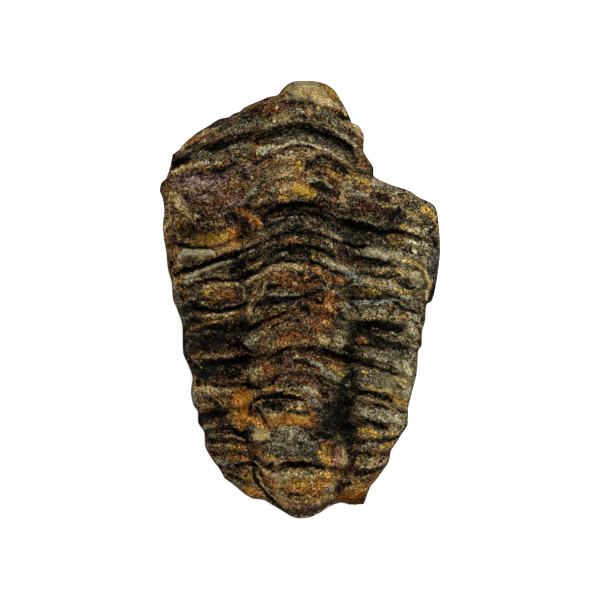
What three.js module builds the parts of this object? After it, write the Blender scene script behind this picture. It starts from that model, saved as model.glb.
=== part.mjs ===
// A weathered calymenid trilobite, free of its rock, lying on its flat worn underside.
// One stone: a domed back crossed by rings and ribs, steep broken flanks and a flat base.
// Millimetres, +Z up, +Y towards the head. The origin is the middle of the base.
import * as THREE from "three";

// ---------------------------------------------------------------- driving dimensions

const LENGTH = 73; // nub of the head to the tip of the tail
const GRID_LENGTH = 438; // the same length in steps of the measuring grid, 1/6 mm a step
const STEP = LENGTH / GRID_LENGTH;
const GRID_MIDDLE = { x: 299.75, y: 300 }; // grid x runs to the right, grid y to the tail
const BASE_SHRINK = { x: 0.87, y: 0.92 }; // the worn base against the widest outline
const BASE_SMOOTHING = 5; // passes that round the outline's small notches off the base
const RIM_UNDERCUT = 1.7; // above 1, the flank stays full under the rim and then turns in
const FLANK_LEVELS = [0.3, 0.6, 0.85]; // how far down from the rim the flank has its bends
const COLUMNS = 36; // strips from the left rim to the right rim, six to each line below

// ---------------------------------------------------------------- outline, in grid steps

// Front edge of the head, left to right. Its right end is the round nub.
const HEAD_EDGE = [
  [172, 154], [176, 152], [184, 143], [196, 133], [209, 125], [220, 118.5], [228, 117],
  [234, 113], [239, 111.5], [243, 108], [258, 101], [268, 97], [277, 95], [282, 89.5],
  [288, 84], [296, 81.3], [307, 81], [318, 82], [327, 85], [334, 90], [339, 97],
];

// Left side from the corner of the head down to the tail, each rib end a small scallop.
const LEFT_EDGE = [
  [172, 154], [170, 165], [166, 178], [161, 183], [159.5, 190], [162.5, 199], [164, 211],
  [162.5, 226], [164, 241], [166, 252], [167.5, 268], [171.5, 284], [172.5, 298],
  [177, 310], [182, 327], [182.5, 351], [189, 368], [192, 378], [190.5, 392], [193, 405],
  [197.5, 413], [197.5, 421], [204, 434], [204.5, 445], [210, 457], [220, 471], [224, 479],
];

// Right side: three stepped lobes where the cheek is broken off, the cheek's shoulder at
// the widest point, then the scalloped rib ends.
const RIGHT_EDGE = [
  [339, 97], [345, 108], [350, 119], [351.5, 123], [358, 126], [363.5, 137], [363, 151],
  [366, 157], [373, 169.5], [373, 175], [388, 184], [408, 190.5], [420, 198], [431, 203],
  [436, 209], [438, 220], [440, 250], [438.5, 268], [435, 290], [431.5, 301], [426, 305],
  [425, 320], [422, 332], [421.5, 345], [418, 351], [417, 370], [412, 392], [408, 411],
  [408, 422], [400, 437], [395, 445], [391, 451], [389, 461], [382, 472], [374, 483],
  [369, 488],
];

// Tail edge, left to right, with the rust-stained shelf of rock at its right end.
const TAIL_EDGE = [
  [224, 479], [233, 485.5], [246, 496], [253, 499.5], [262, 500.5], [274, 507],
  [284, 513], [291, 517], [298, 519], [307, 518.5], [318, 514.5], [329, 507.5],
  [336, 504.5], [341, 503.5], [350, 505], [363, 505.2], [366, 500], [369, 488],
];

// ---------------------------------------------------------------- lobes, in grid steps

// The two furrows that part the axis from its sides, and the midline, as [grid y, x].
const LEFT_FURROW = [
  [99, 262], [137, 256], [163, 250], [205, 247], [260, 243], [320, 244], [385, 249],
  [430, 251], [466, 257], [484, 267], [505, 281], [512, 284],
];
const MIDLINE = [[81, 304], [200, 303], [300, 299], [400, 297], [519, 300]];
const RIGHT_FURROW = [
  [90, 327], [119, 342], [150, 350], [175, 354], [210, 351], [280, 353], [330, 350],
  [400, 348], [452, 347], [482, 342], [494, 338], [505, 334],
];

// Seven lines run from head to tail: left rim, left flank, left furrow, midline, right
// furrow, right flank, right rim. SPREAD is where they lie across the back, from 0 to 1.
const SPREAD = [0, 1 / 6, 1 / 3, 1 / 2, 2 / 3, 5 / 6, 1];
// Where the seven lines leave the outline's two ends, in grid x.
const HEAD_ENDS = [172, 217, 262, 304, 327, 335, 339];
const TAIL_ENDS = [224, 253, 281, 300, 331, 353, 369];

// Each groove between two rings or ribs: its grid y where it crosses the seven lines, and
// how deep it is in millimetres on the left side, on the axis and on the right side. A
// groove is wide times as broad as a plain one.
const GROOVES = [
  { at: [154, 120, 99, 81, 85, 91, 97], deep: [0, 0, 0], wide: 1 }, // edge of the head
  { at: [159, 131, 107, 102, 113, 119, 122.5], deep: [0.2, 0.5, 0.9], wide: 1 }, // under the nub
  { at: [164, 147, 137, 130, 149, 153, 153.5], deep: [1.9, 2.2, 1.8], wide: 2.6 }, // border furrow
  { at: [180, 173, 162, 154, 171, 174, 175], deep: [1.0, 0.5, 0.6], wide: 1 },
  { at: [197, 194, 190, 177, 188, 189, 187], deep: [0.7, 0.6, 0.7], wide: 1 },
  { at: [215, 213, 210, 206, 214, 209, 199], deep: [1.0, 1.6, 0.7], wide: 1.5 }, // back of the head lobe
  { at: [245, 248, 237, 216, 225, 232, 243], deep: [1.2, 0.6, 1.6], wide: 1 }, // back of the cheeks
  { at: [277, 263, 252, 234, 246, 246, 257], deep: [1.5, 0.8, 0.7], wide: 1 },
  { at: [287, 273, 263, 247, 259, 263, 274], deep: [0.2, 0.9, 0.9], wide: 1 },
  { at: [297, 281, 278, 262, 274, 276, 290], deep: [0.9, 1.1, 0.7], wide: 1 },
  { at: [309, 309, 306, 298, 297, 299, 304], deep: [1.4, 1.5, 0.9], wide: 1 },
  { at: [329, 331, 329, 310, 321, 324, 330], deep: [1.3, 1.2, 1.5], wide: 1 },
  { at: [345, 349, 341, 329, 341, 347, 350], deep: [0.8, 0.4, 0.9], wide: 1 },
  { at: [361, 361, 358, 348, 358, 364, 378], deep: [1.2, 1.4, 0.9], wide: 1 },
  { at: [380, 385, 384, 372, 387, 394, 404], deep: [1.1, 1.0, 1.1], wide: 1 },
  { at: [410, 411, 408, 398, 403, 406, 412], deep: [1.3, 1.2, 0.6], wide: 1.3 },
  { at: [429, 429, 431, 428, 426, 423, 430], deep: [1.0, 0.8, 1.1], wide: 1 },
  { at: [445, 441, 443, 444, 443, 441, 441], deep: [0.8, 0.1, 0.8], wide: 1 },
  { at: [457, 454, 454, 454, 455, 453, 452], deep: [0.6, 0.0, 0.8], wide: 1 },
  { at: [468, 467, 467, 463, 468, 471, 469], deep: [0.9, 1.4, 0.9], wide: 1.3 },
  { at: [473, 479, 481, 479, 482, 481, 478], deep: [0.5, 0.3, 0.4], wide: 1 },
  { at: [476, 490, 493, 494, 493, 491, 484], deep: [0.3, 0.4, 0.3], wide: 1 },
  { at: [479, 499, 511, 519, 507, 505, 488], deep: [0, 0, 0], wide: 1 }, // edge of the tail
];
const GROOVE_FRONT = 1.5; // mm from a groove's bottom back to the full height of a ring
const GROOVE_BACK = 0.6; // mm that a ring's overhanging hind edge takes to drop
const RING_SWELL = 0.04; // a ring's extra height in its middle, as a share of its length
const LONG_RING = 3.8; // mm, from here on a ring is built with one more row

// Height of the back above the base, in millimetres, at grid y along the midline: at the
// two rims, on the shoulders of the sides and on the crest of the axis. The right rim is
// high beside the head, where the cheek is broken away. Then how deep the two lengthwise
// furrows are.
const HEIGHTS = [
  { y: 81, left: 6.5, shoulder: 8, crest: 9.5, right: 7.5, leftFurrow: 0.2, rightFurrow: 0 },
  { y: 104, left: 7.5, shoulder: 12.5, crest: 14, right: 10.5, leftFurrow: 0.8, rightFurrow: 0 },
  { y: 130, left: 8, shoulder: 14.5, crest: 16.2, right: 11.8, leftFurrow: 1.1, rightFurrow: 0.1 },
  { y: 165, left: 8.5, shoulder: 15.5, crest: 19.5, right: 11.5, leftFurrow: 1.2, rightFurrow: 0.6 },
  { y: 190, left: 8.5, shoulder: 15.8, crest: 20.2, right: 9.5, leftFurrow: 1.2, rightFurrow: 1.1 },
  { y: 220, left: 8.5, shoulder: 16, crest: 20.6, right: 8.5, leftFurrow: 1.3, rightFurrow: 1.3 },
  { y: 300, left: 7.5, shoulder: 16, crest: 21, right: 8, leftFurrow: 1.5, rightFurrow: 1.2 },
  { y: 380, left: 7, shoulder: 14.5, crest: 19.5, right: 7.5, leftFurrow: 1.5, rightFurrow: 1.6 },
  { y: 440, left: 6.5, shoulder: 12.5, crest: 17, right: 6.5, leftFurrow: 1.4, rightFurrow: 1.7 },
  { y: 480, left: 5.5, shoulder: 10, crest: 14, right: 5.5, leftFurrow: 1.3, rightFurrow: 1.2 },
  { y: 505, left: 4.5, shoulder: 6.5, crest: 10, right: 4, leftFurrow: 0.8, rightFurrow: 0.7 },
  { y: 519, left: 4, shoulder: 4, crest: 5.5, right: 3.5, leftFurrow: 0, rightFurrow: 0 },
];
const SIDE_FALL = 2.8; // how late a side turns down: 2 is round, more is squarer
const FURROW_WIDTH = 0.055; // of the lengthwise furrows, as a share of the way across

// Lumps and hollows that belong to no ring: middle and reach in grid steps, height in mm,
// and a turn in degrees that drops the right end towards the tail.
const LUMPS = [
  { x: 308, y: 90, rx: 26, ry: 12, turn: 0, high: 2.2 }, // nub of the head
  { x: 290, y: 117, rx: 22, ry: 5, turn: -8, high: 0.7 }, // low ridge behind the nub
  { x: 354, y: 131, rx: 10, ry: 9, turn: 50, high: 1.3 }, // middle lobe of the break
  { x: 366, y: 165, rx: 9, ry: 7, turn: 40, high: 1.0 }, // lower lobe of the break
  { x: 177, y: 161, rx: 11, ry: 6, turn: 0, high: -1.5 }, // pocket at the head's left corner
  { x: 208, y: 184, rx: 34, ry: 8, turn: 3, high: 1.1 }, // ridge of the left cheek
  { x: 190, y: 231, rx: 20, ry: 11, turn: -10, high: -1.5 }, // hollow behind the left cheek
  { x: 229, y: 232, rx: 16, ry: 13, turn: 0, high: -0.9 },
  { x: 248, y: 216, rx: 22, ry: 5, turn: 38, high: 1.0 }, // rusty spur beside the hollow
  { x: 200, y: 254, rx: 22, ry: 5, turn: -4, high: 1.0 }, // pale ridge behind the hollow
  { x: 221, y: 295, rx: 23, ry: 9, turn: 0, high: 0.8 }, // swollen left rib
  { x: 246, y: 313, rx: 9, ry: 7, turn: 0, high: 1.0 }, // knobs at the left ends of the rings
  { x: 253, y: 341, rx: 11, ry: 7, turn: -20, high: 1.4 },
  { x: 253, y: 374, rx: 11, ry: 8, turn: 0, high: 1.0 },
  { x: 257, y: 434, rx: 9, ry: 7, turn: 0, high: 1.2 },
  { x: 341, y: 343, rx: 9, ry: 8, turn: 20, high: 1.0 }, // knobs at the right ends
  { x: 336, y: 371, rx: 13, ry: 7, turn: 30, high: 0.8 },
  { x: 331, y: 306, rx: 13, ry: 10, turn: 35, high: 0.7 }, // raised orange flake
  { x: 242, y: 402, rx: 13, ry: 17, turn: 0, high: 0.9 }, // flake bridging the left furrow
  { x: 277, y: 396, rx: 26, ry: 4, turn: -6, high: -1.1 }, // long slot in the axis
  { x: 293, y: 420, rx: 26, ry: 6, turn: 0, high: 0.6 }, // orange ring behind the slot
  { x: 240, y: 436, rx: 13, ry: 7, turn: 10, high: -1.4 }, // deep gaps in the left furrow
  { x: 236, y: 366, rx: 16, ry: 8, turn: -20, high: -0.8 },
  { x: 347, y: 405, rx: 8, ry: 32, turn: 0, high: -1.3 }, // dark trough of the right furrow
  { x: 372, y: 219, rx: 14, ry: 9, turn: 30, high: -0.8 }, // dark pit of the right cheek
  { x: 397, y: 212, rx: 12, ry: 6, turn: 60, high: 0.9 }, // blunt spur next to it
  { x: 378, y: 252, rx: 20, ry: 6, turn: 12, high: 0.9 }, // pale right rib
  { x: 376, y: 326, rx: 25, ry: 7, turn: 8, high: -1.0 }, // sunken black rib
  { x: 385, y: 379, rx: 28, ry: 8, turn: 18, high: 0.6 }, // broad right rib
  { x: 435, y: 280, rx: 6, ry: 24, turn: 0, high: -2.2 }, // ledge under the right rib ends
  { x: 295, y: 464, rx: 27, ry: 4, turn: 0, high: -1.1 }, // slot in the tail axis
  { x: 356, y: 497, rx: 16, ry: 8, turn: 0, high: -1.6 }, // rusty shelf beside the tail
];

// ---------------------------------------------------------------- curves

// A smooth value through rising knots, without overshoot: cubic pieces whose slopes are
// the harmonic mean of the slopes on either side.
function smoothThrough(knots, values) {
  const rise = knots.slice(1).map((k, i) => (values[i + 1] - values[i]) / (k - knots[i]));
  const slopes = values.map((_, i) => {
    if (i === 0) return rise[0];
    if (i === values.length - 1) return rise[i - 1];
    const [before, after] = [rise[i - 1], rise[i]];
    return before * after <= 0 ? 0 : (2 * before * after) / (before + after);
  });
  return (x) => {
    const at = THREE.MathUtils.clamp(x, knots[0], knots[knots.length - 1]);
    let i = 0;
    while (i < rise.length - 1 && at > knots[i + 1]) i++;
    const span = knots[i + 1] - knots[i];
    const u = (at - knots[i]) / span;
    const v = 1 - u;
    return (
      values[i] * v * v * (1 + 2 * u) +
      values[i + 1] * u * u * (1 + 2 * v) +
      span * u * v * (slopes[i] * v - slopes[i + 1] * u)
    );
  };
}

const lerp = THREE.MathUtils.lerp;
const pick = (points, from, to) => smoothThrough(points.map((p) => p[from]), points.map((p) => p[to]));
const edge = {
  head: pick(HEAD_EDGE, 0, 1),
  left: pick(LEFT_EDGE, 1, 0),
  right: pick(RIGHT_EDGE, 1, 0),
  tail: pick(TAIL_EDGE, 0, 1),
};
const line = {
  leftFurrow: pick(LEFT_FURROW, 0, 1),
  middle: pick(MIDLINE, 0, 1),
  rightFurrow: pick(RIGHT_FURROW, 0, 1),
};
const height = Object.fromEntries(
  Object.keys(HEIGHTS[0]).map((part) => [part, pick(HEIGHTS, "y", part)]),
);

// ---------------------------------------------------------------- the back

// Grid x of the seven lines where a groove crosses them.
function crossings({ at }) {
  const left = edge.left(at[0]);
  const right = edge.right(at[6]);
  const inner = [line.leftFurrow(at[2]), line.middle(at[3]), line.rightFurrow(at[4])];
  return [left, (left + inner[0]) / 2, ...inner, (inner[2] + right) / 2, right];
}

// Each groove as a curve: for a place 0 to 1 across the back, its grid x, y and depth.
const grooveCurves = GROOVES.map((groove, i) => {
  const isHead = i === 0;
  const isTail = i === GROOVES.length - 1;
  const xs = isHead ? HEAD_ENDS : isTail ? TAIL_ENDS : crossings(groove);
  const x = smoothThrough(SPREAD, xs);
  const inside = smoothThrough(SPREAD, groove.at);
  const y = isHead ? (s) => edge.head(x(s)) : isTail ? (s) => edge.tail(x(s)) : inside;
  const deep = smoothThrough([0, 0.25, 0.4, 0.6, 0.75, 1], [0, 0, 1, 1, 2, 2].map((k) => groove.deep[k]));
  return { x, y, deep, wide: groove.wide };
});

// Height above the base of the smooth back, before any groove: two shoulders that fall to
// the rims, and the axis standing between its furrows.
function domeHeight(s, midlineY) {
  const rim = (s < 0.5 ? height.left : height.right)(midlineY);
  const furrow = (s < 0.5 ? height.leftFurrow : height.rightFurrow)(midlineY);
  const shoulder = height.shoulder(midlineY);
  const outward = Math.abs(s - 0.5) * 2;
  const acrossAxis = Math.abs(s - 0.5) / (SPREAD[3] - SPREAD[2]);
  const arch = Math.max(0, 1 - acrossAxis ** 2) * (height.crest(midlineY) - shoulder);
  const toFurrow = Math.min(Math.abs(s - SPREAD[2]), Math.abs(s - SPREAD[4])) / FURROW_WIDTH;
  return lerp(rim, shoulder, 1 - outward ** SIDE_FALL) + arch - furrow * Math.exp(-(toFurrow ** 2));
}

// How far a groove lowers the back at a distance from its bottom, from 1 down to 0.
const grooveShare = (distance, reach) => {
  const left = Math.max(0, 1 - distance / reach);
  return left * left * (3 - 2 * left);
};

function lumpHeight(x, y) {
  return LUMPS.reduce((sum, lump) => {
    const turn = THREE.MathUtils.degToRad(lump.turn);
    const along = (x - lump.x) * Math.cos(turn) + (y - lump.y) * Math.sin(turn);
    const across = (y - lump.y) * Math.cos(turn) - (x - lump.x) * Math.sin(turn);
    return sum + lump.high * Math.exp(-((along / lump.rx) ** 2) - (across / lump.ry) ** 2);
  }, 0);
}

// A point of the back, in millimetres: s runs 0 to 1 across it from the left rim, and u
// runs 0 to 1 along the ring that lies between a groove and the next one.
function backPoint(ring, u, s) {
  const [front, hind] = [grooveCurves[ring], grooveCurves[ring + 1]];
  let x = lerp(front.x(s), hind.x(s), u);
  const y = lerp(front.y(s), hind.y(s), u);
  // A ring's two ends follow the scalloped outline and not the straight way between grooves.
  const [leftEndY, rightEndY] = [lerp(front.y(0), hind.y(0), u), lerp(front.y(1), hind.y(1), u)];
  const leftGain = edge.left(leftEndY) - lerp(front.x(0), hind.x(0), u);
  const rightGain = edge.right(rightEndY) - lerp(front.x(1), hind.x(1), u);
  x += leftGain * Math.max(0, 1 - s / SPREAD[1]) ** 2;
  x += rightGain * Math.max(0, 1 - (1 - s) / SPREAD[1]) ** 2;

  const ringLength = Math.hypot(hind.y(s) - front.y(s), hind.x(s) - front.x(s)) * STEP;
  const midlineY = lerp(front.y(0.5), hind.y(0.5), u);
  const relief =
    RING_SWELL * ringLength * Math.sin(Math.PI * u) -
    front.deep(s) * grooveShare(u * ringLength, Math.min(GROOVE_FRONT * front.wide, 0.6 * ringLength)) -
    hind.deep(s) * grooveShare((1 - u) * ringLength, Math.min(GROOVE_BACK * hind.wide, 0.4 * ringLength));
  const rimFade = Math.min(1, 0.45 + 4 * Math.min(s, 1 - s));
  const z = domeHeight(s, midlineY) + relief * rimFade + lumpHeight(x, y);
  return new THREE.Vector3((x - GRID_MIDDLE.x) * STEP, (GRID_MIDDLE.y - y) * STEP, z);
}

// Rows of points from head to tail. A ring has a row in the groove before it, one where it
// reaches its full height and one where its hind edge starts to drop; a long ring has more
// between them.
function backRows() {
  const rows = [];
  const columns = Array.from({ length: COLUMNS + 1 }, (_, i) => i / COLUMNS);
  for (let ring = 0; ring < GROOVES.length - 1; ring++) {
    const length = (GROOVES[ring + 1].at[3] - GROOVES[ring].at[3]) * STEP;
    const full = Math.min((GROOVE_FRONT * GROOVES[ring].wide) / length, 0.4);
    const drop = 1 - Math.min((GROOVE_BACK * GROOVES[ring + 1].wide) / length, 0.4);
    const between = length > LONG_RING ? [0.33, 0.67] : [0.5];
    const stops = [0, full, ...between.map((share) => lerp(full, drop, share)), drop];
    for (const u of stops) rows.push(columns.map((s) => backPoint(ring, u, s)));
  }
  rows.push(columns.map((s) => backPoint(GROOVES.length - 2, 1, s)));
  return rows;
}

// ---------------------------------------------------------------- the whole stone

// The rim as one loop of indices into the rows, counterclockwise seen from above.
function rimLoop(rowCount) {
  const width = COLUMNS + 1;
  const loop = [];
  for (let r = 0; r < rowCount - 1; r++) loop.push(r * width);
  for (let c = 0; c < COLUMNS; c++) loop.push((rowCount - 1) * width + c);
  for (let r = rowCount - 1; r > 0; r--) loop.push(r * width + COLUMNS);
  for (let c = COLUMNS; c > 0; c--) loop.push(c);
  return loop;
}

// The base's outline: the rim drawn in, with its small notches smoothed away.
function baseOutline(rim) {
  const count = rim.length;
  let outline = rim.map((p) => new THREE.Vector2(p.x * BASE_SHRINK.x, p.y * BASE_SHRINK.y));
  for (let pass = 0; pass < BASE_SMOOTHING; pass++) {
    outline = outline.map((p, i) => {
      const [before, after] = [outline[(i + count - 1) % count], outline[(i + 1) % count]];
      return p.clone().multiplyScalar(2).add(before).add(after).divideScalar(4);
    });
  }
  return outline;
}

function stoneGeometry() {
  const rows = backRows();
  const width = COLUMNS + 1;
  const points = rows.flat();
  const faces = [];
  const addQuad = (a, b, c, d) => faces.push([a, b, c], [a, c, d]);

  for (let r = 0; r < rows.length - 1; r++) {
    for (let c = 0; c < COLUMNS; c++) {
      const corner = r * width + c;
      addQuad(corner, corner + width, corner + width + 1, corner + 1);
    }
  }

  let loop = rimLoop(rows.length);
  const rim = loop.map((index) => points[index]);
  const outline = baseOutline(rim);
  for (const down of [...FLANK_LEVELS, 1]) {
    const next = rim.map((p, i) => {
      const inward = down ** RIM_UNDERCUT;
      points.push(
        new THREE.Vector3(lerp(p.x, outline[i].x, inward), lerp(p.y, outline[i].y, inward), p.z * (1 - down)),
      );
      return points.length - 1;
    });
    loop.forEach((index, i) => {
      const j = (i + 1) % loop.length;
      addQuad(index, next[i], next[j], loop[j]);
    });
    loop = next;
  }
  for (const [a, b, c] of THREE.ShapeUtils.triangulateShape(outline, [])) {
    faces.push([loop[a], loop[c], loop[b]]);
  }

  const geometry = new THREE.BufferGeometry().setFromPoints(points);
  geometry.setIndex(faces.flat());
  geometry.computeVertexNormals();
  return geometry;
}

const stone = new THREE.MeshStandardMaterial({ color: 0x5b4c36, roughness: 0.75, metalness: 0 });
const trilobite = new THREE.Mesh(stoneGeometry(), stone);
trilobite.name = "trilobite_fossil";

const group = new THREE.Group();
group.add(trilobite);

export default group;
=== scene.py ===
# %% [markdown]
# # A trilobite, weathered free of its rock
#
# The object is one stone: the domed back of a calymenid trilobite, with the rock that
# fills it. Three lobes run from head to tail, and some twenty grooves cross them and part
# the back into rings and ribs. The right cheek is broken away.
#
# A measured solid of it exists already. It fixes the size and the place, so it is loaded
# first.

# %% Load the measured solid
import math

import bpy
import numpy as np
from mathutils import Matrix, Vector, noise


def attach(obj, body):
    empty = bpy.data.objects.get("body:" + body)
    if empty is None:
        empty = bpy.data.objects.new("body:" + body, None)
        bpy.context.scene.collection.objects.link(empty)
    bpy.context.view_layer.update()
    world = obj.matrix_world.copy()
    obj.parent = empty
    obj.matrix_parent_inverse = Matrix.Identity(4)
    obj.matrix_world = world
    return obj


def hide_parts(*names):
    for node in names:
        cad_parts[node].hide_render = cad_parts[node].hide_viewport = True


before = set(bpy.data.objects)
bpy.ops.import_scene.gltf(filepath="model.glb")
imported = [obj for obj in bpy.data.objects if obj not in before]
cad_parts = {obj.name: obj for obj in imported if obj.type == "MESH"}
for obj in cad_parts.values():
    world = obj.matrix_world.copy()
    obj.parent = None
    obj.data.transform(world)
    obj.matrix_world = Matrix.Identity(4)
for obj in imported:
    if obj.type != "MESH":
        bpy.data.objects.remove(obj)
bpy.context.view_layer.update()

MM_PER_METRE = 1000  # the scene is in metres, and the sizes below are in millimetres


# %% [markdown]
# ## The stand: camera, floor and light
#
# The stone lies on its flat underside and is seen from straight above. A long lens far
# away keeps the grooves where a flat map would have them: a short lens near the stone
# would push its high middle outwards. The lens and the width of the picture give the
# distance.

# %% Camera straight above
PICTURE_WIDTH = 0.1  # metres across the picture, at the height of the stone's rim
RIM_HEIGHT = 0.008  # metres above the floor
LENS_MM = 400
CLIP_END = 10  # metres, well beyond the floor

camera = bpy.data.objects.new("camera_above", bpy.data.cameras.new("camera_above"))
bpy.context.scene.collection.objects.link(camera)
bpy.context.scene.camera = camera
camera.data.lens = LENS_MM
camera_distance = PICTURE_WIDTH * LENS_MM / camera.data.sensor_width
camera.location = (0, 0, RIM_HEIGHT + camera_distance)
camera.data.clip_end = CLIP_END
print("camera height, m:", round(camera.location.z, 3))

# %% [markdown]
# The light is a bright studio's: white all round, one large soft lamp beyond the head that
# gives every ring a lit front and a shaded hind edge, and a weaker one on the right.
# Nothing in the scene should be tinted by the picture's tone curve, so it is the plain one.

# %% Floor, surroundings and lamps
WHITE = (1, 1, 1, 1)
bpy.context.scene.view_settings.view_transform = "Standard"
world = bpy.data.worlds.new("white_room")
bpy.context.scene.world = world
world.use_nodes = True
surroundings = world.node_tree.nodes["Background"].inputs
surroundings["Color"].default_value = WHITE
surroundings["Strength"].default_value = 1.0


def soft_lamp(name, place, side, watts):
    """A square lamp of a given side in metres, turned towards the stone."""
    lamp = bpy.data.objects.new(name, bpy.data.lights.new(name, "AREA"))
    lamp.data.size = side
    lamp.data.energy = watts
    lamp.location = place
    lamp.rotation_euler = (-Vector(place)).to_track_quat("-Z", "Y").to_euler()
    bpy.context.scene.collection.objects.link(lamp)


soft_lamp("lamp_beyond_head", (0.1, 0.75, 0.62), side=0.5, watts=6.5)
soft_lamp("lamp_right", (0.8, 0.1, 0.7), side=0.8, watts=2.6)

FLOOR_SIDE = 3.0  # metres
FLOOR_GAP = 0.0001  # metres, keeps the card from flickering through the stone's flat base
bpy.ops.mesh.primitive_plane_add(size=FLOOR_SIDE, location=(0, 0, -FLOOR_GAP))
floor = bpy.context.object
floor.name = "floor"

# %% [markdown]
# ## The map of the stone
#
# Everything is placed on one map, drawn from above in steps of a sixth of a millimetre: x
# runs to the right and y from the head to the tail. These are the same numbers that the
# measured solid is built from: the outline, the two furrows that part the axis from the
# sides, the midline, and each groove where it crosses seven lines from rim to rim.

# %% Outline and lengthwise lines
LENGTH_MM = 73
LENGTH_STEPS = 438  # the same length on the map
STEP_MM = LENGTH_MM / LENGTH_STEPS
MAP_MIDDLE = (299.75, 300)  # the place on the map that lies over the origin

HEAD_EDGE = [
    (172, 154), (176, 152), (184, 143), (196, 133), (209, 125), (220, 118.5), (228, 117),
    (234, 113), (239, 111.5), (243, 108), (258, 101), (268, 97), (277, 95), (282, 89.5),
    (288, 84), (296, 81.3), (307, 81), (318, 82), (327, 85), (334, 90), (339, 97),
]
LEFT_EDGE = [
    (172, 154), (170, 165), (166, 178), (161, 183), (159.5, 190), (162.5, 199), (164, 211),
    (162.5, 226), (164, 241), (166, 252), (167.5, 268), (171.5, 284), (172.5, 298),
    (177, 310), (182, 327), (182.5, 351), (189, 368), (192, 378), (190.5, 392), (193, 405),
    (197.5, 413), (197.5, 421), (204, 434), (204.5, 445), (210, 457), (220, 471), (224, 479),
]
RIGHT_EDGE = [
    (339, 97), (345, 108), (350, 119), (351.5, 123), (358, 126), (363.5, 137), (363, 151),
    (366, 157), (373, 169.5), (373, 175), (388, 184), (408, 190.5), (420, 198), (431, 203),
    (436, 209), (438, 220), (440, 250), (438.5, 268), (435, 290), (431.5, 301), (426, 305),
    (425, 320), (422, 332), (421.5, 345), (418, 351), (417, 370), (412, 392), (408, 411),
    (408, 422), (400, 437), (395, 445), (391, 451), (389, 461), (382, 472), (374, 483),
    (369, 488),
]
TAIL_EDGE = [
    (224, 479), (233, 485.5), (246, 496), (253, 499.5), (262, 500.5), (274, 507),
    (284, 513), (291, 517), (298, 519), (307, 518.5), (318, 514.5), (329, 507.5),
    (336, 504.5), (341, 503.5), (350, 505), (363, 505.2), (366, 500), (369, 488),
]
LEFT_FURROW = [
    (99, 262), (137, 256), (163, 250), (205, 247), (260, 243), (320, 244), (385, 249),
    (430, 251), (466, 257), (484, 267), (505, 281), (512, 284),
]
MIDLINE = [(81, 304), (200, 303), (300, 299), (400, 297), (519, 300)]
RIGHT_FURROW = [
    (90, 327), (119, 342), (150, 350), (175, 354), (210, 351), (280, 353), (330, 350),
    (400, 348), (452, 347), (482, 342), (494, 338), (505, 334),
]
print("outline points:", sum(map(len, (HEAD_EDGE, LEFT_EDGE, RIGHT_EDGE, TAIL_EDGE))))

# %% [markdown]
# A groove is a line from rim to rim, its depth in millimetres on the left side, on the axis
# and on the right side, and how broad it is against a plain one.

# %% Grooves, from the edge of the head to the edge of the tail
SPREAD = np.arange(7) / 6  # where the seven lines run, as shares of the way across
HEAD_ENDS = (172, 217, 262, 304, 327, 335, 339)  # map x where they start, at the head
TAIL_ENDS = (224, 253, 281, 300, 331, 353, 369)  # and where they end, at the tail
GROOVES = [
    ((154, 120, 99, 81, 85, 91, 97), (0, 0, 0), 1),
    ((159, 131, 107, 102, 113, 119, 122.5), (0.2, 0.5, 0.9), 1),
    ((164, 147, 137, 130, 149, 153, 153.5), (1.9, 2.2, 1.8), 2.6),
    ((180, 173, 162, 154, 171, 174, 175), (1.0, 0.5, 0.6), 1),
    ((197, 194, 190, 177, 188, 189, 187), (0.7, 0.6, 0.7), 1),
    ((215, 213, 210, 206, 214, 209, 199), (1.0, 1.6, 0.7), 1.5),
    ((245, 248, 237, 216, 225, 232, 243), (1.2, 0.6, 1.6), 1),
    ((277, 263, 252, 234, 246, 246, 257), (1.5, 0.8, 0.7), 1),
    ((287, 273, 263, 247, 259, 263, 274), (0.2, 0.9, 0.9), 1),
    ((297, 281, 278, 262, 274, 276, 290), (0.9, 1.1, 0.7), 1),
    ((309, 309, 306, 298, 297, 299, 304), (1.4, 1.5, 0.9), 1),
    ((329, 331, 329, 310, 321, 324, 330), (1.3, 1.2, 1.5), 1),
    ((345, 349, 341, 329, 341, 347, 350), (0.8, 0.4, 0.9), 1),
    ((361, 361, 358, 348, 358, 364, 378), (1.2, 1.4, 0.9), 1),
    ((380, 385, 384, 372, 387, 394, 404), (1.1, 1.0, 1.1), 1),
    ((410, 411, 408, 398, 403, 406, 412), (1.3, 1.2, 0.6), 1.3),
    ((429, 429, 431, 428, 426, 423, 430), (1.0, 0.8, 1.1), 1),
    ((445, 441, 443, 444, 443, 441, 441), (0.8, 0.1, 0.8), 1),
    ((457, 454, 454, 454, 455, 453, 452), (0.6, 0.0, 0.8), 1),
    ((468, 467, 467, 463, 468, 471, 469), (0.9, 1.4, 0.9), 1.3),
    ((473, 479, 481, 479, 482, 481, 478), (0.5, 0.3, 0.4), 1),
    ((476, 490, 493, 494, 493, 491, 484), (0.3, 0.4, 0.3), 1),
    ((479, 499, 511, 519, 507, 505, 488), (0, 0, 0), 1),
]
GROOVE_FRONT_MM = 1.5  # from a groove's bottom back to the full height of a ring
GROOVE_BACK_MM = 0.6  # for the hind edge of a ring to drop
RING_SWELL = 0.04  # extra height in a ring's middle, as a share of its length
print("rings and ribs:", len(GROOVES) - 1)

# %% [markdown]
# Heights come from a table too. From head to tail it gives the two rims, the shoulders of
# the sides, the crest of the axis and how deep the two lengthwise furrows are.

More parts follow.
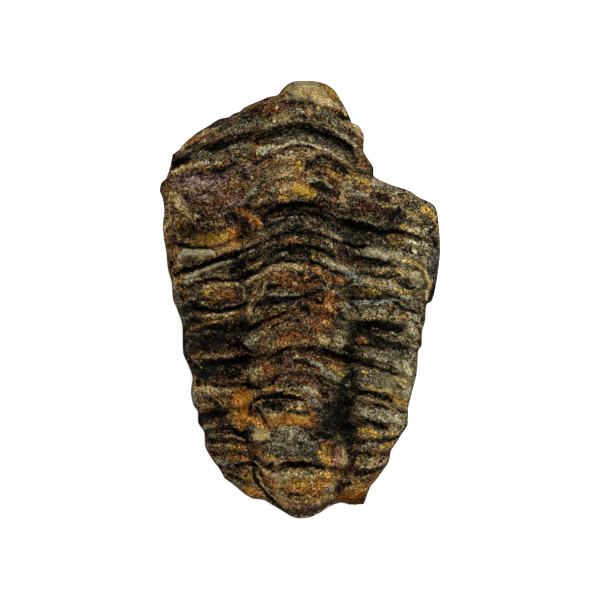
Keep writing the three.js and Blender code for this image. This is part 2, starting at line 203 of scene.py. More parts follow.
# %% Heights in millimetres, at map y along the midline
HEIGHTS = {
    "y": (81, 104, 130, 165, 190, 220, 300, 380, 440, 480, 505, 519),
    "left": (6.5, 7.5, 8, 8.5, 8.5, 8.5, 7.5, 7, 6.5, 5.5, 4.5, 4),
    "shoulder": (8, 12.5, 14.5, 15.5, 15.8, 16, 16, 14.5, 12.5, 10, 6.5, 4),
    "crest": (9.5, 14, 16.2, 19.5, 20.2, 20.6, 21, 19.5, 17, 14, 10, 5.5),
    "right": (7.5, 10.5, 11.8, 11.5, 9.5, 8.5, 8, 7.5, 6.5, 5.5, 4, 3.5),
    "left furrow": (0.2, 0.8, 1.1, 1.2, 1.2, 1.3, 1.5, 1.5, 1.4, 1.3, 0.8, 0),
    "right furrow": (0, 0, 0.1, 0.6, 1.1, 1.3, 1.2, 1.6, 1.7, 1.2, 0.7, 0),
}
SIDE_FALL = 2.8  # how late a side turns down: 2 is round, more is squarer
FURROW_WIDTH = 0.055  # as a share of the way across the back

# Lumps and hollows that belong to no ring: x, y, reach along, reach across, turn in
# degrees that drops the right end towards the tail, and height in millimetres.
LUMPS = [
    (308, 90, 26, 12, 0, 2.2), (290, 117, 22, 5, -8, 0.7), (354, 131, 10, 9, 50, 1.3),
    (366, 165, 9, 7, 40, 1.0), (177, 161, 11, 6, 0, -1.5), (208, 184, 34, 8, 3, 1.1),
    (190, 231, 20, 11, -10, -1.5), (229, 232, 16, 13, 0, -0.9), (248, 216, 22, 5, 38, 1.0),
    (200, 254, 22, 5, -4, 1.0), (221, 295, 23, 9, 0, 0.8), (246, 313, 9, 7, 0, 1.0),
    (253, 341, 11, 7, -20, 1.4), (253, 374, 11, 8, 0, 1.0), (257, 434, 9, 7, 0, 1.2),
    (341, 343, 9, 8, 20, 1.0), (336, 371, 13, 7, 30, 0.8), (331, 306, 13, 10, 35, 0.7),
    (242, 402, 13, 17, 0, 0.9), (277, 396, 26, 4, -6, -1.1), (293, 420, 26, 6, 0, 0.6),
    (240, 436, 13, 7, 10, -1.4), (236, 366, 16, 8, -20, -0.8), (345, 408, 9, 30, 0, -1.1),
    (372, 219, 14, 9, 30, -0.8), (397, 212, 12, 6, 60, 0.9), (378, 252, 20, 6, 12, 0.9),
    (376, 326, 25, 7, 8, -1.0), (385, 379, 28, 8, 18, 0.6), (435, 280, 6, 24, 0, -2.2),
    (295, 464, 27, 4, 0, -1.1), (356, 497, 16, 8, 0, -1.6),
]
print("lumps and hollows:", len(LUMPS))

# %% [markdown]
# ## Smooth curves through measured points
#
# A curve through the points could be a Blender curve object, but the back needs the value
# at any place and must never swing past a measured point. A cubic whose slope at each
# point is the harmonic mean of its neighbours' does both in a few lines.

# %% A curve through points
def smooth_through(knots, values):
    """A function that passes smoothly through values at rising knots, and never overshoots."""
    knots, values = np.array(knots, float), np.array(values, float)
    rise = np.diff(values) / np.diff(knots)
    before, after = rise[:-1], rise[1:]
    same_way = before * after > 0
    inner = np.where(same_way, 2 * before * after / np.where(same_way, before + after, 1), 0)
    slope = np.concatenate([rise[:1], inner, rise[-1:]])

    def curve(x):
        x = np.clip(x, knots[0], knots[-1])
        i = np.clip(np.searchsorted(knots, x) - 1, 0, len(rise) - 1)
        span = knots[i + 1] - knots[i]
        u = (x - knots[i]) / span
        v = 1 - u
        ends = values[i] * v * v * (1 + 2 * u) + values[i + 1] * u * u * (1 + 2 * v)
        return ends + span * u * v * (slope[i] * v - slope[i + 1] * u)

    return curve


def along(points, key=0):
    """The curve of one map coordinate against the other one, the key."""
    ordered = sorted(points, key=lambda p: p[key])
    return smooth_through([p[key] for p in ordered], [p[1 - key] for p in ordered])


head_edge, tail_edge = along(HEAD_EDGE), along(TAIL_EDGE)
left_edge, right_edge = along(LEFT_EDGE, key=1), along(RIGHT_EDGE, key=1)
left_furrow, midline, right_furrow = along(LEFT_FURROW), along(MIDLINE), along(RIGHT_FURROW)
height_of = {part: smooth_through(HEIGHTS["y"], HEIGHTS[part]) for part in HEIGHTS if part != "y"}
print("width at the widest ring, mm:", round(float(right_edge(250) - left_edge(250)) * STEP_MM, 1))

# %% [markdown]
# ## The net over the back
#
# The back is one sheet. A square net would cut across the grooves and blur them, so the
# net follows them: its rows are the grooves and the lines between them, and its columns
# run from head to tail. A knot lies every fifth of a millimetre or so, which is fine
# enough for flakes and cracks to be real relief.

# %% Lay the net
COLUMNS = 216
ROW_STEP = 1.3  # map steps between rows, on average
FEWEST_ROWS = 4  # in the shortest ring
CROWDING = 0.25  # how much closer than average the rows lie beside a groove
across = np.linspace(0, 1, COLUMNS + 1)


def crossings(at):
    """Map x where a groove meets the seven lines."""
    left, right = left_edge(at[0]), right_edge(at[6])
    inner = [left_furrow(at[2]), midline(at[3]), right_furrow(at[4])]
    return [left, (left + inner[0]) / 2, *inner, (inner[2] + right) / 2, right]


def groove_line(number):
    """A groove's map x and y at every column."""
    at = GROOVES[number][0]
    if number == 0:
        x = smooth_through(SPREAD, HEAD_ENDS)(across)
        return x, head_edge(x)
    if number == len(GROOVES) - 1:
        x = smooth_through(SPREAD, TAIL_ENDS)(across)
        return x, tail_edge(x)
    return smooth_through(SPREAD, crossings(at))(across), smooth_through(SPREAD, at)(across)


lines = [groove_line(number) for number in range(len(GROOVES))]
ring_of_row, share_of_row = [], []
for ring, ((x0, y0), (x1, y1)) in enumerate(zip(lines, lines[1:])):
    length = float(np.hypot(x1 - x0, y1 - y0).mean())
    count = max(FEWEST_ROWS, round(length / ROW_STEP))
    even = np.arange(count) / count
    ring_of_row += [ring] * count
    share_of_row += list(even - CROWDING * np.sin(2 * np.pi * even) / (2 * np.pi))
ring_of_row.append(len(GROOVES) - 2)
share_of_row.append(1.0)
ring_of_row = np.array(ring_of_row)
u = np.array(share_of_row)[:, None]
print("net:", len(ring_of_row), "rows by", len(across), "columns")

# %% [markdown]
# Between two grooves a knot lies on the straight way from one to the other. Only near the
# rims it is drawn sideways, so that the ends of the rings follow the scalloped outline.

# %% Map position of every knot
line_x = np.array([line[0] for line in lines])
line_y = np.array([line[1] for line in lines])
front_x, hind_x = line_x[ring_of_row], line_x[ring_of_row + 1]
front_y, hind_y = line_y[ring_of_row], line_y[ring_of_row + 1]
map_x = front_x + (hind_x - front_x) * u
map_y = front_y + (hind_y - front_y) * u
left_gain = left_edge(map_y[:, :1]) - map_x[:, :1]
right_gain = right_edge(map_y[:, -1:]) - map_x[:, -1:]
near_left = np.clip(1 - across / SPREAD[1], 0, 1) ** 2
near_right = np.clip(1 - (1 - across) / SPREAD[1], 0, 1) ** 2
map_x = map_x + left_gain * near_left + right_gain * near_right
ring_mm = np.hypot(hind_x - front_x, hind_y - front_y) * STEP_MM
print("longest ring, mm:", round(float(ring_mm.max()), 1))

# %% [markdown]
# ## Roughness that follows the animal
#
# Weathering opens the shell along its growth, so flakes and fine laminae run along the
# rings and curve with them. Noise taken at plain x and y would ignore that. Here it is
# taken at a place on the animal: how far across, and how far down the midline the knot's
# row lies. Stretching the noise across then gives laminae that bend with every ring.

# %% Noise on the animal
OCTAVE_FADE = 0.9  # how fast the finer octaves of a noise grow weaker
OCTAVE_SCALE = 2.1  # how much finer each octave is than the one before
SEED_SHIFT = 31.7  # how far apart two seeds read the noise
SPLIT_WIDTH = 0.07  # a split runs where a noise is this near to zero

flow_x = (map_x - MAP_MIDDLE[0]) * STEP_MM
midline_y = map_y[:, COLUMNS // 2, None]
flow_y = np.repeat(midline_y, COLUMNS + 1, axis=1) * STEP_MM
plain_y = map_y * STEP_MM


def fractal(x, y, size, octaves=4, seed=0, stretch=1.0):
    """Noise from about -1 to 1. Size is its lumps' width in mm, stretched along x."""
    shift = SEED_SHIFT * seed
    places = zip((x / (size * stretch)).ravel(), (y / size).ravel())
    values = [
        noise.fractal(Vector((a + shift, b - shift, shift)), OCTAVE_FADE, OCTAVE_SCALE, octaves)
        for a, b in places
    ]
    return np.array(values).reshape(x.shape)


def span(values):
    """The lowest and the highest value, as text."""
    return f"{values.min():.2f} to {values.max():.2f}"


wander = fractal(flow_x, plain_y, size=5.0, octaves=3, seed=1)
laminae = fractal(flow_x, flow_y, size=1.1, seed=2, stretch=4.5)
flakes = fractal(flow_x, flow_y, size=2.4, seed=3, stretch=2.0)
slabs = fractal(flow_x, flow_y, size=5.5, seed=7, stretch=1.6)
split_lines = fractal(flow_x, flow_y, size=1.5, octaves=3, seed=9, stretch=3.5)
splits = np.clip(1 - np.abs(split_lines) / SPLIT_WIDTH, 0, 1)
grains = fractal(flow_x, plain_y, size=0.55, octaves=3, seed=4)
lumpiness = fractal(flow_x, plain_y, size=3.2, octaves=2, seed=5)
print("laminae:", span(laminae))

# %% [markdown]
# Two helpers shape such numbers: one makes a soft step, and one cuts slopes into terraces.

# %% Soft steps and terraces
TREAD = 0.7  # share of each terrace that is flat


def smooth_step(start, full, values):
    """0 up to the start, 1 from full on, and a soft step between them."""
    share = np.clip((values - start) / (full - start), 0, 1)
    return share * share * (3 - 2 * share)


def terraces(values, step):
    """Turns slopes into flat treads with short steep risers, as split rock has."""
    level = np.floor(values / step)
    return (level + smooth_step(TREAD, 1, values / step - level)) * step


print("a slope in terraces:", terraces(np.linspace(0, 2, 9), 1.0).round(2))

# %% [markdown]
# ## The shape of the back
#
# First the smooth dome: two shoulders that fall to the rims, and the axis arched between
# its furrows. Then the grooves. A groove is steep on its head side, where the ring before
# it ends, and climbs slowly on its tail side. Its line is shaken a little by the noise, so
# no groove runs like a machined one. Dirt fills the grooves unevenly, so in some places
# little of their depth is left. The number before a noise says how strongly it acts.

# %% The smooth dome
FURROW_STRETCH = (0.5, 1.6)  # narrowest and widest spot of a furrow

outward = np.abs(across - 0.5) * 2
is_left = across < 0.5
rim = np.where(is_left, height_of["left"](midline_y), height_of["right"](midline_y))
left_deep, right_deep = height_of["left furrow"](midline_y), height_of["right furrow"](midline_y)
furrow = np.where(is_left, left_deep, right_deep)
shoulder, crest = height_of["shoulder"](midline_y), height_of["crest"](midline_y)
axis_arch = np.clip(1 - (outward * 0.5 / (SPREAD[3] - SPREAD[2])) ** 2, 0, 1)
furrow_wander = across + 0.012 * wander + 0.006 * lumpiness
to_furrow = np.minimum(np.abs(furrow_wander - SPREAD[2]), np.abs(furrow_wander - SPREAD[4]))
to_furrow = to_furrow / (FURROW_WIDTH * np.clip(1 + 0.6 * flakes, *FURROW_STRETCH))
dome = rim + (shoulder - rim) * (1 - outward ** SIDE_FALL) + (crest - shoulder) * axis_arch
dome = dome - furrow * np.exp(-(to_furrow ** 2))
print("dome, mm:", span(dome))

# %% Depth and reach of every groove
DEPTH_PLACES = (0, 0.25, 0.4, 0.6, 0.75, 1)  # ends of the left side, the axis, the right side
MOST_BACK, MOST_FRONT = 0.4, 0.6  # of the ring before and behind, a groove takes no more

place_numbers = range(len(DEPTH_PLACES))
depth_spread = smooth_through(DEPTH_PLACES, place_numbers)(across)
groove_depth = np.array([
    smooth_through(place_numbers, np.repeat(deep, 2))(depth_spread) for _, deep, _ in GROOVES
])
groove_wide = np.array([wide for _, _, wide in GROOVES])[:, None]
ring_length = np.hypot(np.diff(line_x, axis=0), np.diff(line_y, axis=0)) * STEP_MM
reach_back = np.vstack([ring_length[:1], ring_length]) * MOST_BACK
reach_back = np.minimum(GROOVE_BACK_MM * groove_wide, reach_back)
reach_front = np.vstack([ring_length, ring_length[-1:]]) * MOST_FRONT
reach_front = np.minimum(GROOVE_FRONT_MM * groove_wide, reach_front)
print("groove depths, mm:", span(groove_depth))

# %% Cut the grooves
DEPTH_AT_RIM, DEPTH_GAIN = 0.45, 4  # grooves are shallow at the rim and soon deepen
OPEN_DEPTH, OPEN_LIMITS = 0.66, (0.3, 1.1)  # share of the depth that dirt leaves open


def groove_share(number, distance):
    """How much of its depth groove number has at a distance, tailwards positive."""
    reach = np.where(distance > 0, reach_front[number], reach_back[number])
    return smooth_step(reach, 0, np.abs(distance))


shake = 0.3 * laminae + 0.35 * wander + 0.2 * flakes
from_front = groove_share(ring_of_row, u * ring_mm + shake)
from_hind = groove_share(ring_of_row + 1, (u - 1) * ring_mm + shake)
to_rim = np.minimum(across, 1 - across)
rim_fade = np.clip(DEPTH_AT_RIM + DEPTH_GAIN * to_rim, 0, 1)
grooved = groove_depth[ring_of_row] * from_front + groove_depth[ring_of_row + 1] * from_hind
dirt = fractal(flow_x, flow_y, size=3.4, octaves=3, seed=10, stretch=1.3)
left_open = np.clip(OPEN_DEPTH + 0.5 * dirt, *OPEN_LIMITS)
rings = (RING_SWELL * ring_mm * np.sin(np.pi * u) - grooved * left_open) * rim_fade
print("deepest groove, mm:", round(float(grooved.max()), 2))

# %% [markdown]
# The lumps and hollows are soft mounds, and each is one ellipse.

# %% Lumps and hollows
def from_middle(x, y, reach_x, reach_y, turn=0):
    """Distance from the middle of a turned ellipse on the map: 1 on its edge."""
    angle = math.radians(turn)
    aside, down = map_x - x, map_y - y
    run = (aside * math.cos(angle) + down * math.sin(angle)) / reach_x
    drop = (down * math.cos(angle) - aside * math.sin(angle)) / reach_y
    return np.hypot(run, drop)


lumps = sum(high * np.exp(-from_middle(*place) ** 2) for *place, high in LUMPS)
print("highest lump, mm:", round(float(lumps.max()), 2))

# %% [markdown]
# Cracks, ledges, flakes and stains were laid down line by line as the rock broke and
# weathered, so they are drawn like brush strokes on the map. They are listed by hue and,
# within a hue, region by region. Each has a shift of its tone, a height, half its width in
# map steps, and the x and y of its points. The same stroke will raise or sink the rock and
# colour it: a black stroke along a crack or groove is partly dark film and partly painted
# shade, and a ledge is pale because it is worn.

# %% Strokes of each hue
STROKES = {}
STROKES["rust"] = [
    (0.3, 0.1, 2.6, 187, 144.5, 196, 138.5, 205, 134), (-0.24, 0, 5, 250, 112, 265, 110, 278, 110),
    (0.1, 0, 1.5, 234, 118, 238, 118.5), (0.1, 0, 2, 233, 176, 237, 176),
    (0.1, 0, 1.8, 264, 107, 268, 107), (0.2, 0, 1, 311, 112, 311.5, 118),
    (0.15, 0, 1.5, 335, 108, 336, 113), (0, 0, 1.6, 268, 165, 276, 163, 284, 165),
    (0.3, 0.1, 0.8, 336, 170, 341, 175, 346, 180), (-0.15, 0, 2, 361, 140, 361, 149),
    (0, 0, 2, 334, 222, 337, 227), (0.08, 0.2, 1.7, 281, 243, 290, 241, 302, 241.5),
    (0.1, 0.2, 2.5, 302, 263, 310, 268, 318, 272, 325, 277),
    (-0.05, 0, 6, 287, 282, 300, 284, 309, 285), (0.2, 0.3, 1.2, 296, 279, 303, 279.5, 311, 276),
    (0.1, 0.2, 1, 268, 277, 276, 274, 284, 275, 289, 281), (-0.1, 0.1, 4, 332, 280, 344, 280),
    (-0.12, 0.2, 2, 250, 224, 254, 230, 257, 237), (-0.1, 0, 3, 353, 260, 360, 262),
    (0.15, 0.1, 3, 396, 269, 401, 272), (0.25, 0, 1.3, 432.5, 234.5, 434.5, 231),
    (0.15, 0.3, 1.3, 264, 326, 268, 322, 275, 320, 281, 317, 287, 313, 292, 310.8, 298, 311),
    (0, 0.2, 5, 312, 310, 320, 313, 328, 316), (0.2, 0.3, 4, 332, 293, 329, 299, 326, 304, 330, 309),
    (0.2, 0.2, 3, 323, 321.5, 328, 325), (0, 0.1, 3, 312, 327, 320, 331),
    (-0.04, 0, 4.6, 276, 340, 291, 334, 306, 336), (-0.15, 0, 3, 327, 355, 338, 360, 345, 366),
    (0, 0, 4, 265, 365, 273, 371), (-0.08, 0, 3.8, 240, 228, 241, 239),
    (0.15, 0.1, 2.5, 206, 302, 213, 305), (-0.05, 0, 5, 222, 293, 233, 296),
    (-0.05, 0, 1.3, 208, 377, 213, 378), (0, 0.1, 4, 229, 453, 238, 457, 246, 458),
    (0, 0, 2.2, 357, 341, 364, 341), (0.12, 0.1, 0.9, 360, 337, 365.5, 340, 364.5, 344),
    (0, 0, 4, 334, 474, 340, 476), (0.08, 0.2, 6, 264, 421, 271, 418, 285, 418, 296, 419),
    (0.24, 0.2, 3, 258, 424, 266, 427), (-0.05, 0, 5, 255, 449, 265, 455),
    (0.12, 0.1, 2, 264, 478, 267, 482), (0.14, 0.1, 4, 266, 480, 275, 490),
    (0.06, 0.1, 6, 311, 490, 318, 493),
]
STROKES["brick"] = [
    (-0.35, -0.2, 3, 197, 174, 206, 176), (-0.4, -0.3, 4, 185, 195, 190, 200),
    (-0.3, -0.1, 3, 205, 192, 215, 195), (0.02, 0, 5, 214, 199, 226, 198, 238, 195),
    (-0.25, -0.1, 5, 283, 106, 293, 104), (-0.1, 0, 5, 363, 160, 368, 167),
    (-0.25, -0.1, 2, 337, 178, 348, 182), (-0.25, -0.2, 6.01, 360, 205, 375, 209),
    (-0.25, 0, 2.3, 271, 203, 278, 206), (-0.4, -0.1, 4, 341, 247, 346, 256),
    (-0.25, -0.2, 2.5, 259, 307, 266, 303), (0.05, 0, 5, 287, 338, 297, 337),
    (0, 0, 3.5, 285, 359, 289, 365), (-0.12, 0, 5, 290, 377, 303, 379, 310, 382),
    (-0.35, -0.2, 2.5, 187, 202, 196, 204, 206, 205), (-0.03, 0, 7, 205, 206, 225, 207),
    (-0.3, -0.3, 5, 239, 221, 246, 226), (-0.35, -0.3, 4, 226, 217, 233, 215, 238, 219),
    (-0.2, 0, 3, 185, 261, 193, 262), (-0.1, 0, 4.5, 236, 291, 239, 298),
    (-0.25, 0, 3.5, 248, 257, 254, 260), (-0.4, -0.3, 5, 193, 303, 199, 308),
    (-0.05, 0, 3, 226, 337, 234, 341), (-0.2, 0, 2.3, 232, 366, 248, 367),
    (-0.2, 0, 2, 214, 421, 222, 423), (-0.3, -0.1, 1.3, 244.5, 474.5, 246, 475.5),
    (-0.1, 0, 6, 352, 344, 360, 341), (0.06, 0.2, 7, 337, 449, 338, 460, 336, 472),
    (0.26, 0.2, 3.6, 336, 453, 339, 462, 337, 470), (-0.06, 0, 2.5, 290, 503.5, 303, 504.5, 316, 506),
]
STROKES["mauve"] = [
    (-0.14, 0, 8, 178, 184, 200, 180, 222, 180),
    (0.22, 0.3, 2.2, 191, 179, 200, 182, 207, 184.5, 215, 182), (0.3, 0.1, 1.5, 190, 186.5, 195, 185),
    (0.1, 0.1, 0.8, 283, 375.5, 286, 377, 287, 373), (0.1, 0.1, 4, 307, 398, 317, 402),
    (0, 0.1, 2.5, 326, 488, 331, 491),
]
STROKES["tan"] = [
    (0.25, 0.1, 3, 180, 149, 188, 142, 197, 136.5, 206, 131.5, 216, 129),
    (0.3, 0.1, 2.4, 199, 136, 205, 134), (0.1, 0, 3, 214, 129, 217, 134),
    (0.2, 0.2, 2.3, 171, 173, 180, 169, 188, 166, 196, 166, 208, 163),
    (0.25, 0.1, 2, 215, 164, 221, 163), (0.14, 0.1, 4, 238, 160, 248, 163),
    (0.15, 0.1, 1.5, 178, 189, 186, 189, 193, 190.5), (0.25, 0.2, 5, 172, 196, 178, 198),
    (0.2, 0, 10, 300, 92, 322, 94), (-0.08, 0, 4, 284, 89, 290, 86), (0.2, 0, 4, 314, 103, 326, 104),
    (0.25, 0, 1.5, 276, 104, 277.5, 109), (-0.08, 0.1, 4, 273, 121, 284, 118, 294, 116),
    (0.2, 0, 1.01, 309, 106, 309, 115), (0.15, 0, 1, 318, 107, 318, 118),
    (0.3, 0, 3.4, 326, 100, 333, 104, 338, 108), (-0.1, 0.2, 2.5, 330, 156, 338, 160, 346, 166),
    (0.15, 0.1, 3, 277, 161, 288, 157, 300, 155.5, 313, 156),
    (-0.3, 0, 6.5, 266, 172, 280, 168, 290, 168),
    (0.2, 0.3, 1.5, 263, 187, 270, 183, 278, 179, 285, 176.5, 292, 176, 297, 178),
    (0.14, 0.1, 2.6, 314, 180, 326, 183),
    (0.04, 0, 3.5, 342, 124, 349, 124.5, 356, 128.5, 361, 134, 362, 139),
    (0.15, 0.2, 1, 357, 168, 364, 171, 370, 172), (0.3, 0.1, 2, 382, 208, 387, 206, 395, 207),
    (0.05, 0, 6, 410, 214, 418, 220),
    (0.2, 0, 1.2, 430, 206, 434, 213, 437, 222, 438, 232, 439, 245, 440, 257),
    (0.15, 0.1, 5, 283, 190, 288, 188), (0.1, 0, 2.5, 262, 200, 256, 206, 252, 211),
    (0.15, 0.1, 4, 341, 188, 342, 198, 345, 206), (0.1, 0.1, 2, 320, 229, 327, 234),
    (0.15, 0.2, 0.8, 321, 240, 328, 243), (0.1, 0.2, 0.9, 256, 262, 262, 257.5, 270, 252),
    (0.1, 0.2, 0.8, 262, 249, 268, 244.5, 275, 243),
    (0.15, 0.4, 1.1, 245, 270, 252, 267, 258, 264, 264, 260),
    (0.28, 0.4, 3, 245, 284, 255, 278.5, 262, 274.5, 270, 270.5, 278, 267.5, 286, 265.5, 293, 266, 300,
     269), (0.05, 0.1, 2, 331, 244, 334, 253), (0.3, 0.3, 1, 263, 291, 266, 284, 272, 281.5, 279, 281),
    (0.05, 0.2, 4, 255, 293, 262, 295), (0.1, 0.1, 0.9, 246, 210, 252, 215),
    (0.3, 0.1, 1.2, 258, 234, 264, 236), (0.15, 0.2, 1.2, 245, 248, 252, 244, 258, 242),
    (0.2, 0.1, 2, 408, 231, 414, 234),
    (0.32, 0.5, 1.6, 394, 261, 403, 260.5, 411, 263, 418, 266.5, 424, 271, 428, 277, 430.5, 284, 426.5,
     291, 425, 300), (0.1, 0.1, 3.2, 377, 273, 386, 269),
    (0.15, 0.3, 2.4, 362, 281.5, 371, 283, 379, 284.5, 387, 285.5), (0.15, 0.2, 4, 250, 303, 249, 311),
    (0.15, 0.2, 0.7, 258, 313.5, 263, 309.5, 268, 306), (0.2, 0.2, 2.5, 258, 335, 264, 331.5, 270, 328),
    (-0.24, 0, 8.5, 268, 340, 285, 333, 304, 331), (0.1, 0.2, 5, 317, 336, 327, 341),
    (0.2, 0.3, 3.2, 332, 344, 340, 346), (0.25, 0, 1.5, 294, 357, 300, 354),
    (0.2, 0.3, 5, 249, 373, 254, 377), (0, 0, 4.5, 168, 203, 167, 218, 168, 233),
    (0.22, 0.1, 4.5, 177, 204, 184, 210, 190, 216), (0.12, 0.4, 1.5, 193, 221, 199, 226, 205, 222),
    (0.12, 0.4, 1.8, 209, 222, 214, 226, 219, 226, 223, 222), (0.1, 0.1, 2.3, 199, 259, 206, 258),
    (0, 0.1, 3, 176, 263, 182, 266),
    (0.25, 0.4, 2, 204, 288, 212, 285.3, 222, 284.3, 231, 284, 236, 282.5),
    (0.25, 0.4, 1.9, 201, 316, 210, 316, 218, 315, 226, 313.3, 237, 312),
    (-0.05, 0.2, 1.3, 186, 318, 191, 314.5, 199, 315), (0.05, 0.2, 2.3, 204, 356, 214, 356, 225, 354),
    (0.15, 0.2, 2, 194, 377, 194, 387), (0.25, 0.4, 4, 199, 391, 207, 388.5, 216, 390, 226, 391),
    (0.15, 0.2, 3, 199, 405, 208, 407), (0.12, 0.1, 1.6, 203, 427.5, 209, 426, 216, 424),
    (0.2, 0.3, 1.2, 213, 446, 221, 444.5, 228, 445, 235, 447),
    (0.2, 0.3, 1.2, 224, 437.5, 231, 434.5, 238, 437, 244, 440.5),
    (0.02, 0.2, 3, 362, 316, 372, 317, 380, 316), (0.2, 0.2, 1.4, 383, 316, 396, 317.5),
    (0.2, 0.1, 0.8, 372, 328, 379, 330), (0, 0.1, 1.6, 391, 376.5, 400, 379.5, 407, 382.5),
    (0.25, 0.2, 0.8, 399, 383.5, 404, 386, 408, 388.5), (0.2, 0.2, 1.4, 376, 391, 384, 389.5, 391, 390),
    (0, 0.2, 1.2, 370, 400, 376, 400, 383, 403, 390, 407, 397, 410),
    (0.15, 0.2, 3.2, 362, 467, 370, 464.5, 379, 463, 386, 459), (0.2, 0.1, 1.8, 332, 483, 333, 491),
    (0.2, 0.2, 0.8, 252.5, 404, 255, 401.5, 260, 400.5, 266, 397.5),
    (0, 0.2, 0.7, 258, 403, 266, 399.5, 278, 398, 292, 398.5), (0.15, 0.1, 2.5, 268, 414, 277, 415),
    (0.4, 0.9, 8.6, 258, 434, 266, 434), (0.22, 0.5, 2.6, 275, 464, 282, 460),
    (0.25, 0.2, 3, 325, 464, 329, 471), (0.28, 0.2, 1.8, 342, 446, 345, 456, 343, 468),
    (0.25, 0.3, 1.2, 254, 461, 259, 465, 264, 469.5, 270, 472), (0.1, 0.1, 3, 284, 471, 296, 473),
    (0.28, 0.4, 1.3, 257, 473, 260, 480, 265, 487, 270, 493.5, 275, 498.5, 281, 502),
    (0.08, 0.1, 6, 277, 477, 284, 484), (0.04, 0.1, 4.01, 275, 493, 287, 497),
    (0.2, 0.2, 0.9, 322, 487.5, 329, 484.5, 335, 482),
    (0.5, 0.1, 1.8, 272, 508.5, 281, 513.5, 290, 518, 300, 519, 312, 517, 322, 511.5, 332, 505.5),
]
STROKES["grey"] = [
    (-0.05, 0, 7, 220, 130, 235, 128, 250, 125), (-0.1, 0, 5, 186, 154, 200, 155, 212, 152),
    (-0.3, 0, 1.5, 316.5, 93, 317.5, 94), (-0.1, 0.1, 4.5, 322, 112, 330, 118, 336, 124),
    (-0.22, 0.1, 4, 281, 142, 293, 139, 305, 138, 318, 141, 328, 146, 336, 151),
    (0.15, 0, 5, 372, 184, 382, 188, 394, 192), (0.15, 0, 2.8, 408, 193, 420, 200, 430, 205, 434, 212),
    (-0.25, -0.2, 3.6, 426, 218, 430, 223), (0, 0, 5, 268, 195, 276, 190),
    (0.05, 0, 4, 275, 227, 290, 226), (0.1, 0, 1.5, 305, 269, 310, 272),
    (-0.3, -0.1, 5.5, 344, 232, 347, 238), (0.1, 0.1, 1.3, 361, 217, 370, 224, 379, 229.5),
    (0.15, 0, 1.8, 345, 300, 350, 302), (0.25, 0, 1.2, 291, 362, 292, 364),
    (0.1, 0, 1.8, 306, 369, 310, 370), (-0.1, 0, 3.5, 206, 274, 217, 274),
    (0, 0.1, 3.6, 365, 352.5, 380, 354, 394, 355.5, 404, 358),
    (0, 0.3, 7.5, 363, 376, 376, 379.5, 389, 384), (0.05, 0.1, 3.5, 363, 446, 374, 444),
    (-0.4, 0, 9, 321, 411, 330, 424), (-0.05, 0, 3, 271, 435, 277, 430),
    (-0.1, 0, 10, 288, 441, 302, 446, 309, 451), (0, 0, 3.5, 301, 472, 316, 472),
    (0.16, 0.5, 3.5, 276, 430, 288, 428, 300, 429),
]
STROKES["slate"] = [
    (0.3, 0.2, 2.3, 345, 271.5, 352, 275, 358, 279, 361, 283),
    (0.26, 0.3, 2, 345, 301, 356, 302, 366, 303, 376, 302.5, 391, 301, 400, 301),
    (-0.14, -0.1, 3.2, 434, 250, 436, 262, 434, 279),
]
